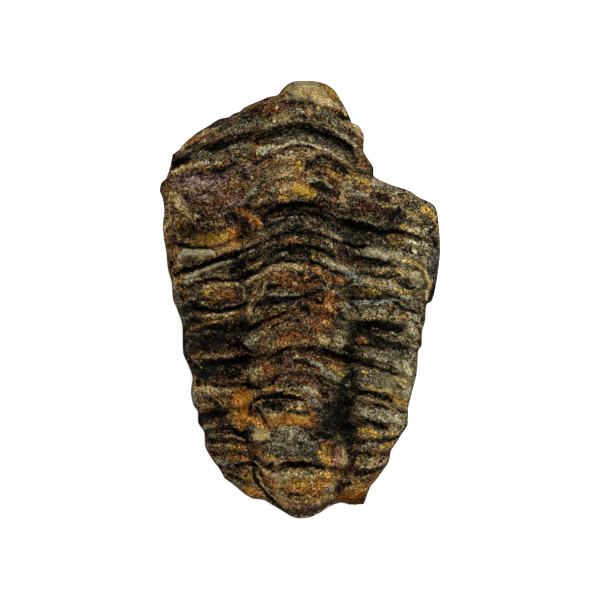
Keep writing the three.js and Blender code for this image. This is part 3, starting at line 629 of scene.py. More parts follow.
STROKES["bone"] = [
    (0.4, 0.1, 1.2, 203, 163.5, 206, 164), (0.1, 0.1, 3, 230, 149, 240, 146.5, 249, 146),
    (0.35, 0.2, 1, 249, 172, 251, 176, 253, 180), (0.2, 0.2, 2.3, 245, 198, 250, 193, 255, 189),
    (0.2, 0.1, 2.3, 297, 110, 301, 111), (0.3, 0, 1.2, 283, 112, 285, 113),
    (0.2, 0.1, 0.9, 332, 102, 339, 106, 345, 111),
    (0.4, 0.45, 1.1, 275, 150.5, 285, 146.3, 292, 143.8, 300, 143.3, 308, 145, 316, 148, 324, 151, 332,
     154, 338, 158, 345, 163, 352, 168, 358, 172.5),
    (0.45, 0.2, 2.3, 258, 153, 264, 154.5, 267, 150, 272, 147),
    (0.35, 0.2, 0.9, 276, 158, 285, 155.5, 292, 153, 296, 152),
    (0.3, 0.2, 1.1, 305, 178.5, 312, 180, 320, 182, 326, 185, 331, 188),
    (0.15, 0.3, 2, 335, 132, 341, 136, 348, 141, 355, 147, 361, 153),
    (0.12, 0.1, 4.01, 340, 186, 349, 187), (0.15, 0.1, 3, 351, 192, 360, 194, 367, 196),
    (0.3, 0, 1, 375.5, 214, 376.5, 216),
    (0.1, 0.3, 0.9, 271, 221.5, 280, 219.5, 290, 218, 299, 217.5, 308, 219, 316, 221),
    (0.15, 0, 1.2, 303, 221, 309, 225), (0.5, 0, 0.9, 321.5, 224, 322.5, 225),
    (0.4, 0.2, 2.3, 331, 234, 336, 237, 341, 240.5), (0.55, 0.4, 2, 282.5, 254, 285.5, 253),
    (0.25, 0.3, 3, 323, 261, 330, 264.5, 338, 268, 347, 271.5), (0.35, 0.1, 1, 293, 282, 296, 283),
    (0.6, 0, 0.8, 265, 238.5, 266, 239), (0.2, 0.1, 3, 407, 240, 415, 245),
    # the stroke at x 413 to 415, y 251 on the next line is a painted glint
    (0.12, 0, 4, 423, 244, 429, 254), (1.4, 0.1, 1.3, 413.3, 250.8, 414.7, 251.3),
    (0.2, 0.5, 5.2, 367, 250, 374, 252.5, 381, 254.5), (0.28, 0.4, 3, 380, 255, 390, 257),
    (0.25, 0.4, 2.8, 391, 256, 401, 255), (0.4, 0.3, 0.8, 345, 247, 351, 250, 358, 253.5),
    (0.3, 0.1, 1.5, 388, 281, 392, 285, 396, 289), (0.05, 0.2, 8, 414, 276, 419, 283),
    (0.08, 0, 4, 401, 296, 413, 300, 421, 305),
    (0.25, 0.2, 0.9, 420, 238, 423, 232, 428, 228.5, 433, 227),
    (0.2, 0.3, 1.1, 268, 296, 278, 295, 290, 295, 299, 294.5),
    (0.35, 0.2, 0.8, 335, 292, 340, 296, 345, 302, 349, 307),
    (0.3, 0.5, 4.2, 246, 341, 252, 340, 258, 337), (0.2, 0.2, 1.8, 341, 338, 342, 345),
    (0.15, 0.2, 2, 310, 361.5, 318, 364, 325, 367), (0.1, 0.1, 4.5, 322, 370, 330, 375, 337, 379),
    (0.25, 0.2, 1.4, 278, 390, 288, 388.5, 297, 387),
    (0.4, 0.3, 1.4, 301, 389.5, 307, 388, 312, 389.5, 317, 392), (0.4, 0, 1.3, 195, 215, 199, 218),
    (0.35, 0.6, 3.3, 179, 256.5, 185, 252.5, 192, 252, 200, 252, 208, 252, 215, 254.5),
    (0.3, 0.4, 1.7, 183, 279, 192, 276, 200, 272, 208, 268, 216, 265, 224, 263, 231, 262),
    (0.3, 0, 1, 216, 274, 219, 277), (0.2, 0.2, 1.5, 184, 281.5, 192, 280.5, 200, 278),
    (0.3, 0.3, 0.9, 238, 283.5, 243, 287, 245, 293, 244.5, 300),
    (0.25, 0.2, 0.8, 240, 258, 244, 254, 250, 252, 256, 250),
    (0.1, 0, 2.8, 175, 283, 175, 292, 178, 302, 181, 315, 184, 324),
    (0.25, 0.2, 1.1, 185, 303, 190, 299.5, 197, 297),
    (0.25, 0.2, 0.9, 203, 302.5, 209, 306.5, 215, 308.3, 221, 308, 229, 305, 238, 304),
    (0.05, 0.1, 0.8, 203, 331, 211, 331, 218, 332.5), (0, 0.2, 1.5, 190, 340, 187, 346, 188, 356),
    (0.4, 0, 1, 245.5, 331.5, 246.5, 332.5), (0.2, 0.2, 0.7, 193, 358, 198, 362.5, 202, 367.5),
    (0.25, 0, 1.1, 215.5, 356.5, 216.5, 360), (0.2, 0.1, 3.01, 193.5, 390, 193.5, 399, 196, 406),
    (-0.06, 0.1, 1.8, 205.5, 440, 206.5, 447), (0.1, 0.2, 2.8, 217, 462, 225, 464, 234, 467),
    (-0.05, 0, 2, 233, 482, 243, 485), (0.1, 0.1, 1.5, 362, 312, 373, 312, 386, 311),
    (0.2, 0.2, 1.8, 408, 313.5, 414, 317, 418, 321, 421, 327), (0.3, 0.1, 4, 409, 326, 416, 335),
    (0.4, 0.3, 0.8, 392, 332.5, 396, 335, 401, 338.5, 405, 341),
    (0.35, 0.1, 1.4, 347, 353.5, 349.5, 354.5), (0.2, 0.2, 2.4, 377, 358.5, 387, 359.5),
    (0.2, 0.2, 4.2, 404, 362, 406, 369, 410, 376), (0.3, 0.2, 0.8, 391, 371, 396, 372),
    (0.05, 0.1, 3, 397, 365, 400, 371), (0.45, 0.1, 1.2, 395, 391.5, 397, 392),
    (0.4, 0.2, 1.8, 345, 384, 348.5, 385), (0.25, 0, 1.8, 356, 403, 359, 408),
    (0.08, 0.2, 5, 362, 412, 375, 412, 390, 417, 402, 424), (0.5, 0.1, 1, 379.5, 437.5, 381, 438),
    (0.5, 0.1, 1.4, 332.5, 497.5, 333.5, 499), (0.15, 0.2, 1.2, 289, 404, 302, 402.3),
    (0.55, 0.2, 2.1, 291, 427.5, 293, 431.5, 289, 436), (0.5, 0.1, 1, 288, 466.5, 289.5, 467),
    (0.45, 0.1, 1.1, 311, 480, 311.5, 482.5),
]
STROKES["orange"] = [
    (-0.06, 0.2, 3.2, 235, 210, 242, 211, 248, 215, 250, 221),
    (0.02, 0.3, 1.6, 253, 216, 257, 220, 259, 225, 262, 229),
    (0.08, 0.1, 1.6, 276, 390.5, 286, 390, 297, 391), (0.12, 0, 6, 232, 232, 234, 242),
    (0.04, 0.3, 9, 238, 397, 248, 397), (0.24, 0.1, 7.5, 243, 404, 245, 413),
    (0.3, 0.6, 5, 245, 417, 254, 421, 261, 426), (0.06, 0.2, 5, 234, 413, 241, 420, 241, 429),
    (0.34, 0.1, 6.2, 246, 489, 257, 497), (-0.14, -0.1, 6.5, 341, 497, 352, 499.5, 363, 501),
    (0.32, 0.2, 3.4, 350, 497, 359, 493, 367, 489.5), (0.08, 0.2, 4.5, 288, 420, 300, 419, 308, 422),
    (0.24, 0.1, 3.4, 328, 460, 328, 470, 325, 478), (0.12, 0.1, 7, 294, 486, 306, 485),
    (0.04, 0.1, 5, 316, 483, 325, 480), (0.04, 0, 4, 330, 472, 328, 480, 320, 486),
]
# black strokes: dark film, and painted shade along the grooves and under the ledges
STROKES["black"] = [
    (-0.3, -0.2, 1.81, 245, 117, 251, 116), (-0.3, -0.2, 1.81, 252, 111, 258, 112),
    (-0.3, -0.3, 3, 189, 148, 198, 143), (-0.4, -0.4, 4, 211, 150, 219, 145, 228, 147),
    (-0.25, -0.2, 5, 238, 139, 250, 135), (-0.5, -0.8, 4.5, 173, 168, 178, 163, 182, 161),
    (-0.25, -0.2, 3.01, 211, 171, 225, 171.5), (-0.3, -0.2, 2.5, 243, 170, 246, 179),
    (-0.4, -0.2, 1.3, 249, 184, 249.5, 188), (-0.3, -0.2, 1.5, 247, 204, 252, 199, 258, 195),
    (-0.25, -0.1, 2.5, 288, 94, 291, 97), (-0.4, -0.2, 2, 299, 104, 302, 104),
    (-0.25, -0.1, 2.2, 311, 103, 314, 105), (-0.3, -0.2, 3, 298, 118, 305, 118),
    (-0.3, -0.3, 3, 339, 117, 348, 118),
    (-0.2, -0.2, 4.5, 256, 141, 265, 136, 278, 132, 292, 130, 305, 129, 318, 131, 329, 137, 339, 143,
     348, 150, 356, 161), (-0.25, -0.3, 1.3, 283, 151, 292, 148, 300, 147.5, 308, 148.5, 314, 151),
    (-0.35, -0.2, 2, 256, 165, 262, 161, 269, 157), (-0.4, -0.3, 4, 306, 170, 310, 164, 318, 160),
    (-0.4, -0.2, 2.3, 322, 157, 332, 162, 340, 168, 346, 173), (-0.35, -0.2, 2.2, 318.5, 175, 320, 175),
    (-0.3, -0.1, 1.8, 325, 175, 326, 176), (-0.35, -0.3, 3, 311, 186, 320, 188, 330, 193),
    (-0.15, -0.1, 3, 345, 131, 354, 136), (-0.6, -0.4, 4, 373, 195, 381, 197, 388, 201),
    (-0.2, -0.1, 2.3, 405, 205, 413, 206), (-0.5, -0.5, 6.01, 391, 217, 398, 213, 402, 218),
    (-0.3, -0.2, 2.5, 268, 194, 272, 197), (-0.3, -0.2, 3, 315, 200, 324, 202),
    (-0.5, -0.9, 2.6, 262, 219, 268, 214, 276, 210.5, 285, 207, 295, 205, 305, 205.5, 316, 208),
    (-0.25, -0.2, 3, 280, 212, 300, 211, 320, 214),
    (-0.35, -0.4, 1, 272, 219, 280, 217, 288, 215.5, 296, 215, 304, 216),
    (-0.2, 0, 4, 290, 229, 301, 228),
    (-0.45, -0.5, 1.21, 266, 242, 272, 238, 280, 235.5, 288, 234, 296, 233.5, 305, 234, 314, 234.5,
     322, 236, 330, 239, 337, 241.5),
    (-0.45, -0.6, 1.4, 316, 208, 326, 214, 335, 218.5, 345, 222, 352, 225),
    (-0.4, -0.5, 1, 263, 251, 270, 247.5, 278, 246, 287, 245.3, 296, 245, 304, 245.5, 312, 247.3, 320,
     250.5, 327, 254, 334, 258), (-0.35, -0.3, 5, 283, 251, 296, 251, 307, 256),
    (-0.5, -0.6, 2.3, 243, 278, 252, 273, 259, 269, 265, 265, 273, 263, 283, 261, 292, 261.5),
    (-0.4, -0.4, 1.2, 308, 261, 318, 265, 325, 268.5, 332, 271.5, 345, 276),
    (-0.4, -0.3, 2, 297, 274, 305, 275.5), (-0.3, -0.3, 3, 266, 288, 280, 285.5),
    (-0.4, -0.3, 2.4, 307, 280, 316, 277, 323, 283), (-0.5, -0.4, 0.9, 339, 288.5, 345, 285, 350, 280),
    (-0.4, -0.3, 1.5, 253, 285, 250, 294), (-0.4, -0.4, 1.2, 245, 252, 251, 248.5, 257, 246),
    (-0.45, -0.5, 4, 344, 221, 355, 225, 366, 229),
    (-0.5, -0.8, 1.5, 362, 229, 372, 231.5, 380, 232.5, 388, 232, 396, 231.5, 403, 232.5, 410, 234.5,
     416, 236.5, 421, 238.5), (-0.4, -0.4, 1.4, 402, 250, 408, 251, 414, 253),
    (-0.5, -0.6, 1.6, 343, 243, 352, 246, 362, 247.5, 367, 246),
    (-0.4, -0.5, 1.5, 361, 258, 370, 259.5, 379, 260.5, 390, 262),
    (-0.3, -0.1, 2.6, 364, 265, 376, 264, 387, 263), (-0.4, -0.2, 2.31, 357, 270, 366, 273.5, 373, 274),
    (-0.4, -0.3, 0.9, 371, 277, 380, 277, 386, 278.5, 393, 277.5, 401, 275),
    (-0.45, -0.5, 2.3, 396, 281.5, 403, 284.5, 411, 288.5), (-0.35, -0.2, 2.8, 386, 293, 391, 296),
    (-0.4, -0.4, 1, 350, 299, 362, 298.3, 373, 299, 381, 298),
    (-0.5, -0.4, 2, 350, 304, 354, 306, 357, 310), (-0.4, -0.4, 2.6, 433, 228, 428, 235),
    (-0.4, -0.3, 2.3, 432, 238, 434, 246), (-0.5, -0.5, 2.6, 433, 286, 432, 292, 430, 298),
    (-0.5, -0.7, 1.6, 254, 312, 257, 306, 262, 301, 268, 298.3, 276, 297, 284, 297, 290, 298, 297, 298,
     304, 296, 312, 293, 321, 291), (-0.45, -0.4, 4, 299, 304, 306, 309),
    (-0.4, -0.3, 0.8, 266, 320, 273, 317.5, 280, 315.5, 286, 311.5),
    (-0.4, -0.3, 0.8, 271, 326, 278, 324, 285, 321.5), (-0.5, -0.6, 3, 247, 330, 256, 326, 262, 321),
    (-0.3, -0.2, 2, 286, 320, 298, 321), (-0.45, -0.3, 3, 314, 299, 320, 303),
    (-0.4, -0.3, 4, 338, 311, 342, 319),
    (-0.4, -0.4, 1.8, 268, 359, 275, 355, 281, 351, 286, 347.5, 291, 346.5),
    (-0.5, -0.4, 3.51, 275, 358, 279, 361), (-0.45, -0.4, 1.8, 241, 342, 245, 348, 252, 351),
    (-0.45, -0.6, 1.7, 305, 348.5, 312, 346.5, 320, 348, 327, 350.5, 335, 354, 342, 358, 349, 363),
    (-0.4, -0.3, 3, 295, 360, 305, 361, 313, 366), (-0.45, -0.4, 1.7, 271, 384, 275, 379, 279, 374),
    (-0.5, -0.3, 0.9, 288, 389.5, 296, 388.3),
    (-0.45, -0.6, 1.4, 314, 374, 318, 378, 323, 383, 329, 387), (-0.4, -0.3, 2.5, 333, 388, 341, 391),
    (-0.5, -0.5, 2.5, 244, 384, 252, 386, 261, 389), (-0.3, -0.2, 3.8, 170, 238, 180, 243, 188, 247),
    (-0.3, -0.3, 1, 203, 227, 208, 224.5, 213, 228),
    (-0.4, -0.4, 1.2, 192, 247.8, 200, 247, 210, 248.6),
    (-0.45, -0.4, 1.3, 177, 256, 172, 261, 170, 270),
    (-0.55, -0.9, 2.5, 243, 252, 236, 256, 228, 258, 219, 260, 211, 262.5, 203, 266, 196, 268.5, 187,
     269.5, 180, 272, 176, 276), (-0.3, -0.2, 3, 182, 274, 192, 272),
    (-0.4, -0.3, 5.5, 232, 270, 242, 266),
    (-0.45, -0.4, 1.6, 203, 280.5, 213, 279, 223, 280.5, 235, 280.5, 245, 277),
    (-0.45, -0.3, 1.4, 189, 288, 196, 283.5, 203, 281), (-0.45, -0.3, 2.3, 181, 285, 187, 287),
    (-0.5, -0.4, 2.3, 181, 296, 183, 301), (-0.3, -0.1, 1.5, 216, 303, 226, 302, 238, 303),
    (-0.55, -0.8, 1.8, 194, 306, 204, 309, 213, 311, 222, 311.3, 232, 308.5, 242, 305.5, 251, 301),
    (-0.45, -0.3, 3, 190, 320, 200, 320), (-0.4, -0.3, 4, 205, 327, 222, 327, 240, 326),
    (-0.45, -0.3, 7, 202, 341, 218, 339, 236, 343),
    (-0.5, -0.4, 4.5, 197, 366, 215, 363, 235, 361, 250, 357),
    (-0.4, -0.2, 7, 200, 375, 215, 374, 238, 374), (-0.5, -0.4, 2, 198, 377, 197.5, 386),
    (-0.35, -0.2, 3.2, 209, 399, 215, 402, 219, 406),
    (-0.5, -0.6, 4, 201, 416, 212, 415, 222, 413.5, 227, 411), (-0.4, -0.2, 2.5, 199, 420, 202, 427),
    (-0.5, -0.4, 3.5, 221, 428, 230, 427, 237, 431), (-0.5, -0.3, 2.5, 208, 440, 216, 439),
    (-0.45, -0.3, 2.6, 214, 453, 219, 455), (-0.5, -0.6, 2.8, 236, 465, 246, 464, 255, 464.5),
    (-0.35, -0.2, 3.5, 228, 475, 237, 477),
    (-0.5, -0.4, 1.2, 392, 301.5, 399, 304.5, 405, 309, 411, 311, 416, 312.5),
    (-0.3, -0.2, 1.5, 411, 320, 415, 324), (-0.36, -0.6, 6.2, 355, 333, 364, 329, 375, 327, 387, 327),
    (-0.45, -0.4, 3.5, 386, 328, 396, 328, 400, 330), (-0.4, -0.1, 4.5, 367, 337, 378, 340, 390, 344),
    (-0.45, -0.3, 0.9, 392, 334.5, 398, 339), (-0.5, -0.5, 4, 384, 343, 394, 345.5, 404, 348),
    (-0.25, -0.1, 5, 372, 344, 382, 347), (-0.4, -0.3, 2, 369, 333, 377, 336.5, 384, 341),
    (-0.45, -0.3, 4, 344, 348, 350, 352), (-0.6, -0.3, 0.9, 385, 362.3, 390, 365.3, 394.5, 368.3),
    (-0.45, -0.7, 2.1, 350, 360.5, 361, 362, 371, 366, 380, 368, 388, 370.5, 396, 374),
    (-0.5, -0.5, 3, 335, 355.5, 343, 358, 351, 361.5), (-0.25, -0.2, 2, 397, 385, 402, 387),
    (-0.3, -0.2, 4, 353, 370, 354, 384, 353, 398),
    (-0.45, -0.6, 2.2, 356, 393, 367, 392, 375, 394, 383, 397.5, 391, 400.5),
    (-0.4, -0.3, 0.8, 383, 392.3, 388, 395, 393, 397.3),
    (-0.2, -0.2, 7.01, 345, 380, 340, 395, 337, 408, 341, 422, 347, 434, 350, 446),
    (-0.4, -0.3, 1.8, 371, 402.5, 378, 404.5, 386, 408),
    (-0.5, -0.3, 0.9, 396, 408, 400, 411, 404.5, 413.5),
    (-0.4, -0.5, 1.9, 357, 421, 366, 421, 374, 423, 381, 426, 387, 428.5),
    (-0.5, -0.5, 1.7, 379, 441, 387, 439, 394, 438, 399, 437), (-0.45, -0.4, 2.2, 359, 453, 368, 453.5),
    (-0.5, -0.4, 1.81, 354, 456, 351.5, 465), (-0.3, -0.2, 1.1, 375, 464.5, 382, 460),
    (-0.5, -0.5, 2.8, 353, 472, 362, 473.5, 370, 472.5), (-0.3, -0.2, 1.1, 371, 471.5, 381, 468),
    (-0.45, -0.4, 3.8, 337, 489, 343, 485, 349, 483),
    (-0.5, -0.7, 1.2, 249.5, 410, 250, 404.5, 253.5, 400, 259, 397.5, 266, 396, 272, 393.8, 278, 392,
     284, 391.5), (-0.5, -0.9, 2.3, 264, 401, 270, 397.5, 279, 396, 290, 396, 299, 397.5, 303, 400),
    (-0.4, -0.4, 2.4, 256, 405, 259, 411), (-0.5, -0.5, 1.8, 259, 412, 263, 416.5, 265.5, 422.5),
    (-0.35, 0, 3.4, 265, 404, 281, 404), (-0.4, -0.3, 0.8, 268, 408.5, 280, 408.5, 291, 410),
    (-0.5, -0.4, 1.2, 293, 410.3, 301, 411.3, 309, 412.5), (-0.45, -0.3, 3, 320, 392, 327, 396),
    (-0.45, -0.3, 2.6, 323, 404, 331, 407), (-0.5, -0.9, 3.8, 240, 434, 245, 433, 247, 441),
    (-0.4, -0.3, 0.9, 263, 443.5, 268, 441.5, 275, 440), (-0.35, -0.2, 1.5, 303, 427, 306, 428),
    (-0.45, -0.4, 2.4, 316, 433, 323, 435.3, 330, 437), (-0.6, -0.9, 2.4, 266, 466, 271, 463.5),
    (-0.6, -0.9, 2.5, 287, 462, 295, 464, 304, 463, 311, 463),
    (-0.5, -0.8, 2.8, 314, 464.5, 321, 466.5), (-0.4, -0.3, 1.8, 272, 469, 276, 472),
    (-0.55, -0.8, 2.4, 254, 470, 256, 478, 259, 484.5, 265, 491, 270, 498, 275, 504),
    (-0.25, -0.2, 1.5, 271, 487, 280, 488.5, 287, 488),
    (-0.4, -0.4, 1.3, 287.5, 496.5, 291, 493.8, 297, 494, 303.5, 495),
    (-0.3, -0.1, 3.6, 307, 433, 316, 438),
    (-0.16, -0.3, 2.6, 286, 510, 296, 511.5, 307, 511.5, 317, 508.5, 326, 503.5, 333, 500),
    (-0.4, -0.3, 2, 277, 505, 284, 510),
]
STROKES["ochre"] = [
    (0.02, 0, 1.6, 233, 115, 242, 108, 250, 106, 262, 101), (0.25, 0.1, 2.31, 251, 145, 258, 148),
    (0.34, 0, 4.01, 321, 83, 330, 88, 336, 95, 339, 100), (0.25, 0, 2, 342, 109, 345, 114),
    (0.15, 0, 3, 298, 163, 299, 173), (0.15, 0.1, 3, 328, 172, 335, 177, 343, 181),
    (0.12, 0.1, 4.5, 352, 170, 356, 178), (0.15, 0, 1.6, 373, 175, 380, 180, 384, 182),
    (0, 0, 3.01, 361, 180, 367, 184),
    (0.2, 0.2, 1.7, 425.5, 208, 430, 212, 433.5, 218, 436, 226, 438, 236, 438.5, 248),
    (0.4, 0.3, 3.2, 421.5, 209, 423.5, 212), (0.25, 0.1, 6, 297, 189, 308, 192, 312, 195),
    (0.2, 0, 1.8, 306, 199, 307, 203), (0.1, 0, 3.01, 281, 198, 287, 202),
    (0.3, 0.1, 1.7, 312, 257, 315, 259), (0.1, 0.1, 2.2, 401, 228, 406, 224),
    (0, 0.2, 2, 388, 236.5, 395, 234.5, 401, 236, 404, 239), (-0.2, 0, 3.01, 388, 243, 401, 245),
    (0, 0, 1, 405, 259.5, 413, 262, 420, 266), (0.05, 0.1, 1.2, 391, 279, 396, 284),
    (0, 0, 1.5, 397, 290.5, 411, 293), (-0.34, 0, 3.6, 353, 290, 366, 291.5, 378, 292),
    (-0.15, 0.1, 1.6, 261, 315, 272, 311.5, 285, 309), (0.2, 0.2, 2, 329, 366, 337, 370.5, 344, 375),
    (0.1, 0.1, 1.8, 263, 389, 273, 386.5, 284, 387),
    (0.3, 0.2, 1.5, 284, 392.5, 292, 392.5, 302, 394.5), (-0.34, -0.4, 8.5, 183, 226, 190, 233),
    (0.08, 0, 7.5, 200, 238, 219, 238), (0.26, 0, 4.8, 221, 240, 228, 236),
    (0.1, 0, 3, 191, 243, 200, 245, 212, 244), (0.15, 0.1, 2.5, 201, 291, 209, 291, 216, 289),
    (0.15, 0.1, 3, 182, 292, 188, 293), (0.12, 0.2, 5.5, 205, 294, 212, 298),
    (0.25, 0.2, 1.8, 186, 335, 190, 329.5, 196, 327, 203, 324, 212, 321.5, 222, 321.5),
    (0.4, 0.3, 1.8, 192, 357, 197, 356, 203, 352), (0.25, 0.1, 1, 220, 403, 223, 401, 226, 404),
    (0.4, 0.1, 2, 232, 411, 238, 413), (0, 0, 2.2, 214, 432, 217, 434),
    (0.25, 0.1, 1.2, 233, 458, 239, 459), (0, 0, 2, 220, 471, 223, 477),
    (0.26, 0.2, 4.6, 243, 474, 249, 479), (-0.1, 0.2, 3.2, 387, 308.5, 396, 306),
    (0.12, 0.1, 2.4, 403.5, 313, 405, 319), (0.12, 0.1, 2, 362, 371, 365, 372),
    (0.12, 0.1, 2, 375, 370.5, 378, 372), (0.25, 0.2, 3.2, 394, 400.5, 405, 402),
    (0.15, 0.2, 4, 361, 428.5, 370, 431, 378, 434), (0.25, 0.1, 2, 388, 434, 395, 434),
    (0.3, 0.2, 1.4, 379, 446, 386, 446), (0.2, 0.1, 2.4, 393, 442, 393, 447),
    (0.1, 0.1, 3, 374, 453.5, 381, 458), (0.18, 0.2, 3, 356, 461, 358, 462),
    (0, 0, 1.8, 373, 478, 379, 470), (0.12, 0.1, 3.5, 354, 482, 364, 484.5),
    (0.2, 0.2, 1.3, 286, 407, 296, 407, 305, 405), (0.2, 0.1, 2.5, 291, 414, 299, 416.5, 306, 419.5),
    (0.1, 0.1, 2.5, 270, 457, 277, 457), (0.3, 0.2, 4.2, 324, 447, 321, 453, 326, 461),
    (0.3, 0.3, 1, 309, 477.5, 318, 474.5, 327, 470), (0.3, 0.1, 2.5, 294, 483, 304, 482),
    (0.15, 0.1, 2.4, 281, 503, 288, 507.5),
]
print("strokes:", {hue: len(group) for hue, group in STROKES.items()})

# %% [markdown]
# A stroke tapers to its ends, and noise frays its edge. Only the knots near it are worked
# out, so that hundreds of strokes take a second. Broad ones are drawn first and fine ones
# over them, so half a width of 1.81 puts a stroke under a neighbour of 1.8.

# %% Reach of each stroke
WAVER_X, WAVER_Y = 1.3, 1.1  # how far a stroke wavers off its line, in map steps
FRAY_STEPS, FRAY_GAIN = 0.9, 0.3  # how far a hair line frays, and more for each step of width
TAPER, TAPER_WIDTHS = 0.4, 3  # share of the width lost at the ends, over so many widths
REACH_WIDTHS, REACH_STEPS = 1.8, 2  # no stroke reaches further than their sum
FAR = 1e9  # further than anything on the map

waver_x = fractal(flow_x, plain_y, size=1.4, octaves=3, seed=12)
waver_y = fractal(flow_x, plain_y, size=1.2, octaves=3, seed=13)
fray = fractal(flow_x, plain_y, size=0.6, octaves=3, seed=11).ravel()
knot_x = (map_x + WAVER_X * waver_x).ravel()
knot_y = (map_y + WAVER_Y * waver_y).ravel()


def knots_under(width, points):
    """The knots that a stroke touches, and their distance from its line: 1 on its edge."""
    xs, ys = np.array(points[::2], float), np.array(points[1::2], float)
    margin = REACH_WIDTHS * width + REACH_STEPS
    beside = (knot_x > xs.min() - margin) & (knot_x < xs.max() + margin)
    beside &= (knot_y > ys.min() - margin) & (knot_y < ys.max() + margin)
    near = np.flatnonzero(beside)
    runs = np.hypot(np.diff(xs), np.diff(ys))
    starts = np.concatenate([[0], np.cumsum(runs)])
    gap, place = np.full(len(near), FAR), np.zeros(len(near))
    for ax, ay, bx, by, run, start in zip(xs, ys, xs[1:], ys[1:], runs, starts):
        aside, down = knot_x[near] - ax, knot_y[near] - ay
        share = np.clip((aside * (bx - ax) + down * (by - ay)) / run ** 2, 0, 1)
        away = np.hypot(aside - share * (bx - ax), down - share * (by - ay))
        place = np.where(away < gap, start + share * run, place)
        gap = np.minimum(gap, away)
    to_end = np.minimum(place, starts[-1] - place)
    taper = 1 - TAPER + TAPER * np.clip(to_end / (TAPER_WIDTHS * width), 0, 1)
    ragged_gap = gap + fray[near] * (FRAY_STEPS + FRAY_GAIN * width)
    return near, ragged_gap / (width * taper)


print("knots near a dot:", len(knots_under(5, (300, 300, 301, 300))[0]))

# %% Draw the strokes
COLOUR_EDGE = (1.18, 0.82)  # distances where the colour begins and where it is full
RELIEF_EDGE = (1.35, 0.35)  # the relief is softer
STROKE_HEIGHT_MM = 0.6  # for a stroke of height 1

drawn = []
carved = np.zeros(map_x.size)
every_stroke = [(hue, *stroke) for hue, group in STROKES.items() for stroke in group]
every_stroke.sort(key=lambda stroke: -stroke[3])
for hue, lift, high, width, *points in every_stroke:
    near, gap = knots_under(width, points)
    drawn.append((hue, lift, near, smooth_step(*COLOUR_EDGE, gap)))
    carved[near] += STROKE_HEIGHT_MM * high * smooth_step(*RELIEF_EDGE, gap)
carved = carved.reshape(map_x.shape)
print("carved, mm:", span(carved))

# %% [markdown]
# ## Plates
#
# The shell breaks into small plates, each a little higher, lower or more tilted than the
# next. Points are scattered one to a cell, and a knot belongs to the nearest. Where two
# points are nearly as near, it lies on the seam between two plates.

# %% Plates of broken shell
def broken_plates(x, y, long_mm, short_mm, seed):
    """For each knot: how far the nearest seam is, three random numbers of its plate, and how
    far it lies tailwards of its plate's middle. Distances are in mm, with the long way
    squeezed to the short one."""
    rng = np.random.default_rng(seed)
    column, row = x / long_mm, y / short_mm
    column, row = column - column.min() + 2, row - row.min() + 2
    cells = (int(row.max()) + 4, int(column.max()) + 4)
    point_x, point_y = rng.random(cells), rng.random(cells)
    looks = rng.random((3, *cells))
    first, second = np.full(x.shape, FAR), np.full(x.shape, FAR)
    plate, tailwards = np.zeros((3, *x.shape)), np.zeros(x.shape)
    for step_y in (-1, 0, 1):
        for step_x in (-1, 0, 1):
            i, j = row.astype(int) + step_y, column.astype(int) + step_x
            down = (row - i - point_y[i, j]) * short_mm
            away = np.hypot((column - j - point_x[i, j]) * short_mm, down)
            nearer = away < first
            second = np.where(nearer, first, np.minimum(second, away))
            plate = np.where(nearer, looks[:, i, j], plate)
            tailwards = np.where(nearer, down, tailwards)
            first = np.where(nearer, away, first)
    return (second - first) / 2, plate, tailwards


bent = (flow_x + 0.7 * flakes, flow_y + 0.45 * laminae)
big_seam, big_plate, big_tail = broken_plates(*bent, long_mm=3.6, short_mm=1.8, seed=21)
small_seam, small_plate, small_tail = broken_plates(*bent, long_mm=1.5, short_mm=0.8, seed=22)
print("furthest from a seam, mm:", big_seam.max().round(2), small_seam.max().round(2))

# %% [markdown]
# Each plate has its own height and its own tilt. Some plates' seams are still shut.

# %% Seams and heights of the plates
BIG_SEAM_MM, SMALL_SEAM_MM = (0.16, 0.03), (0.1, 0.02)  # where a seam begins and is full
BIG_SHUT, SMALL_SHUT = 0.3, 0.45  # share of the plates whose seams are shut

big_open = smooth_step(*BIG_SEAM_MM, big_seam) * (big_plate[2] > BIG_SHUT)
small_open = smooth_step(*SMALL_SEAM_MM, small_seam) * (small_plate[2] > SMALL_SHUT)
seams = np.maximum(big_open, 0.6 * small_open)
plate_height = (
    0.32 * (big_plate[0] - 0.5)
    + 0.24 * (small_plate[0] - 0.5)
    + 0.35 * (big_plate[1] - 0.5) * big_tail
    + 0.4 * (small_plate[1] - 0.5) * small_tail
    - 0.18 * seams
)
print("plate heights:", span(plate_height))

# %% [markdown]
# ## Weathering
#
# The stone splits into thin flakes. Cutting the slopes of a stretched noise into terraces
# gives them flat tops and sharp edges. Fine laminae, chipped hollows and grain go on top,
# and the number before each says how strongly it counts. The rims are calmer.
# A dozen faces are worn smooth and get much less of it: the nub of the head, the yellow
# patch of the neck, pale plates of shell on both sides, the orange skin and the knob beside
# the axis, and the rusty shelf by the tail.

# %% Faces that are worn smooth
WORN_SMOOTH = [
    (308, 90, 30, 15), (242, 404, 13, 17), (198, 254, 23, 5, -3), (383, 253, 22, 7, 14),
    (207, 269, 24, 4, -18), (396, 388, 14, 26, 15), (288, 418, 26, 7), (261, 434, 11, 9),
    (352, 499, 14, 7), (215, 239, 24, 8), (418, 277, 11, 10), (304, 191, 13, 7),
]
SMOOTH_EDGE = (1.2, 0.6)  # distances where a face begins and is full

worn_smooth = np.zeros_like(map_x)
for place in WORN_SMOOTH:
    worn_smooth = np.maximum(worn_smooth, smooth_step(*SMOOTH_EDGE, from_middle(*place)))
print("share worn smooth:", worn_smooth.mean().round(3))

# %% Weather the back
SMOOTH_LOSS = 0.8  # share of the roughness that a smooth face has lost
ROUGHNESS = 0.7  # strength of it all
CHIP_EDGE = (0.22, 0.5)  # where in a noise a chipped hollow begins and is full
CALM_WIDTH, CALM_SHARE = 0.03, 0.4  # the strip along each rim, and the roughness left there

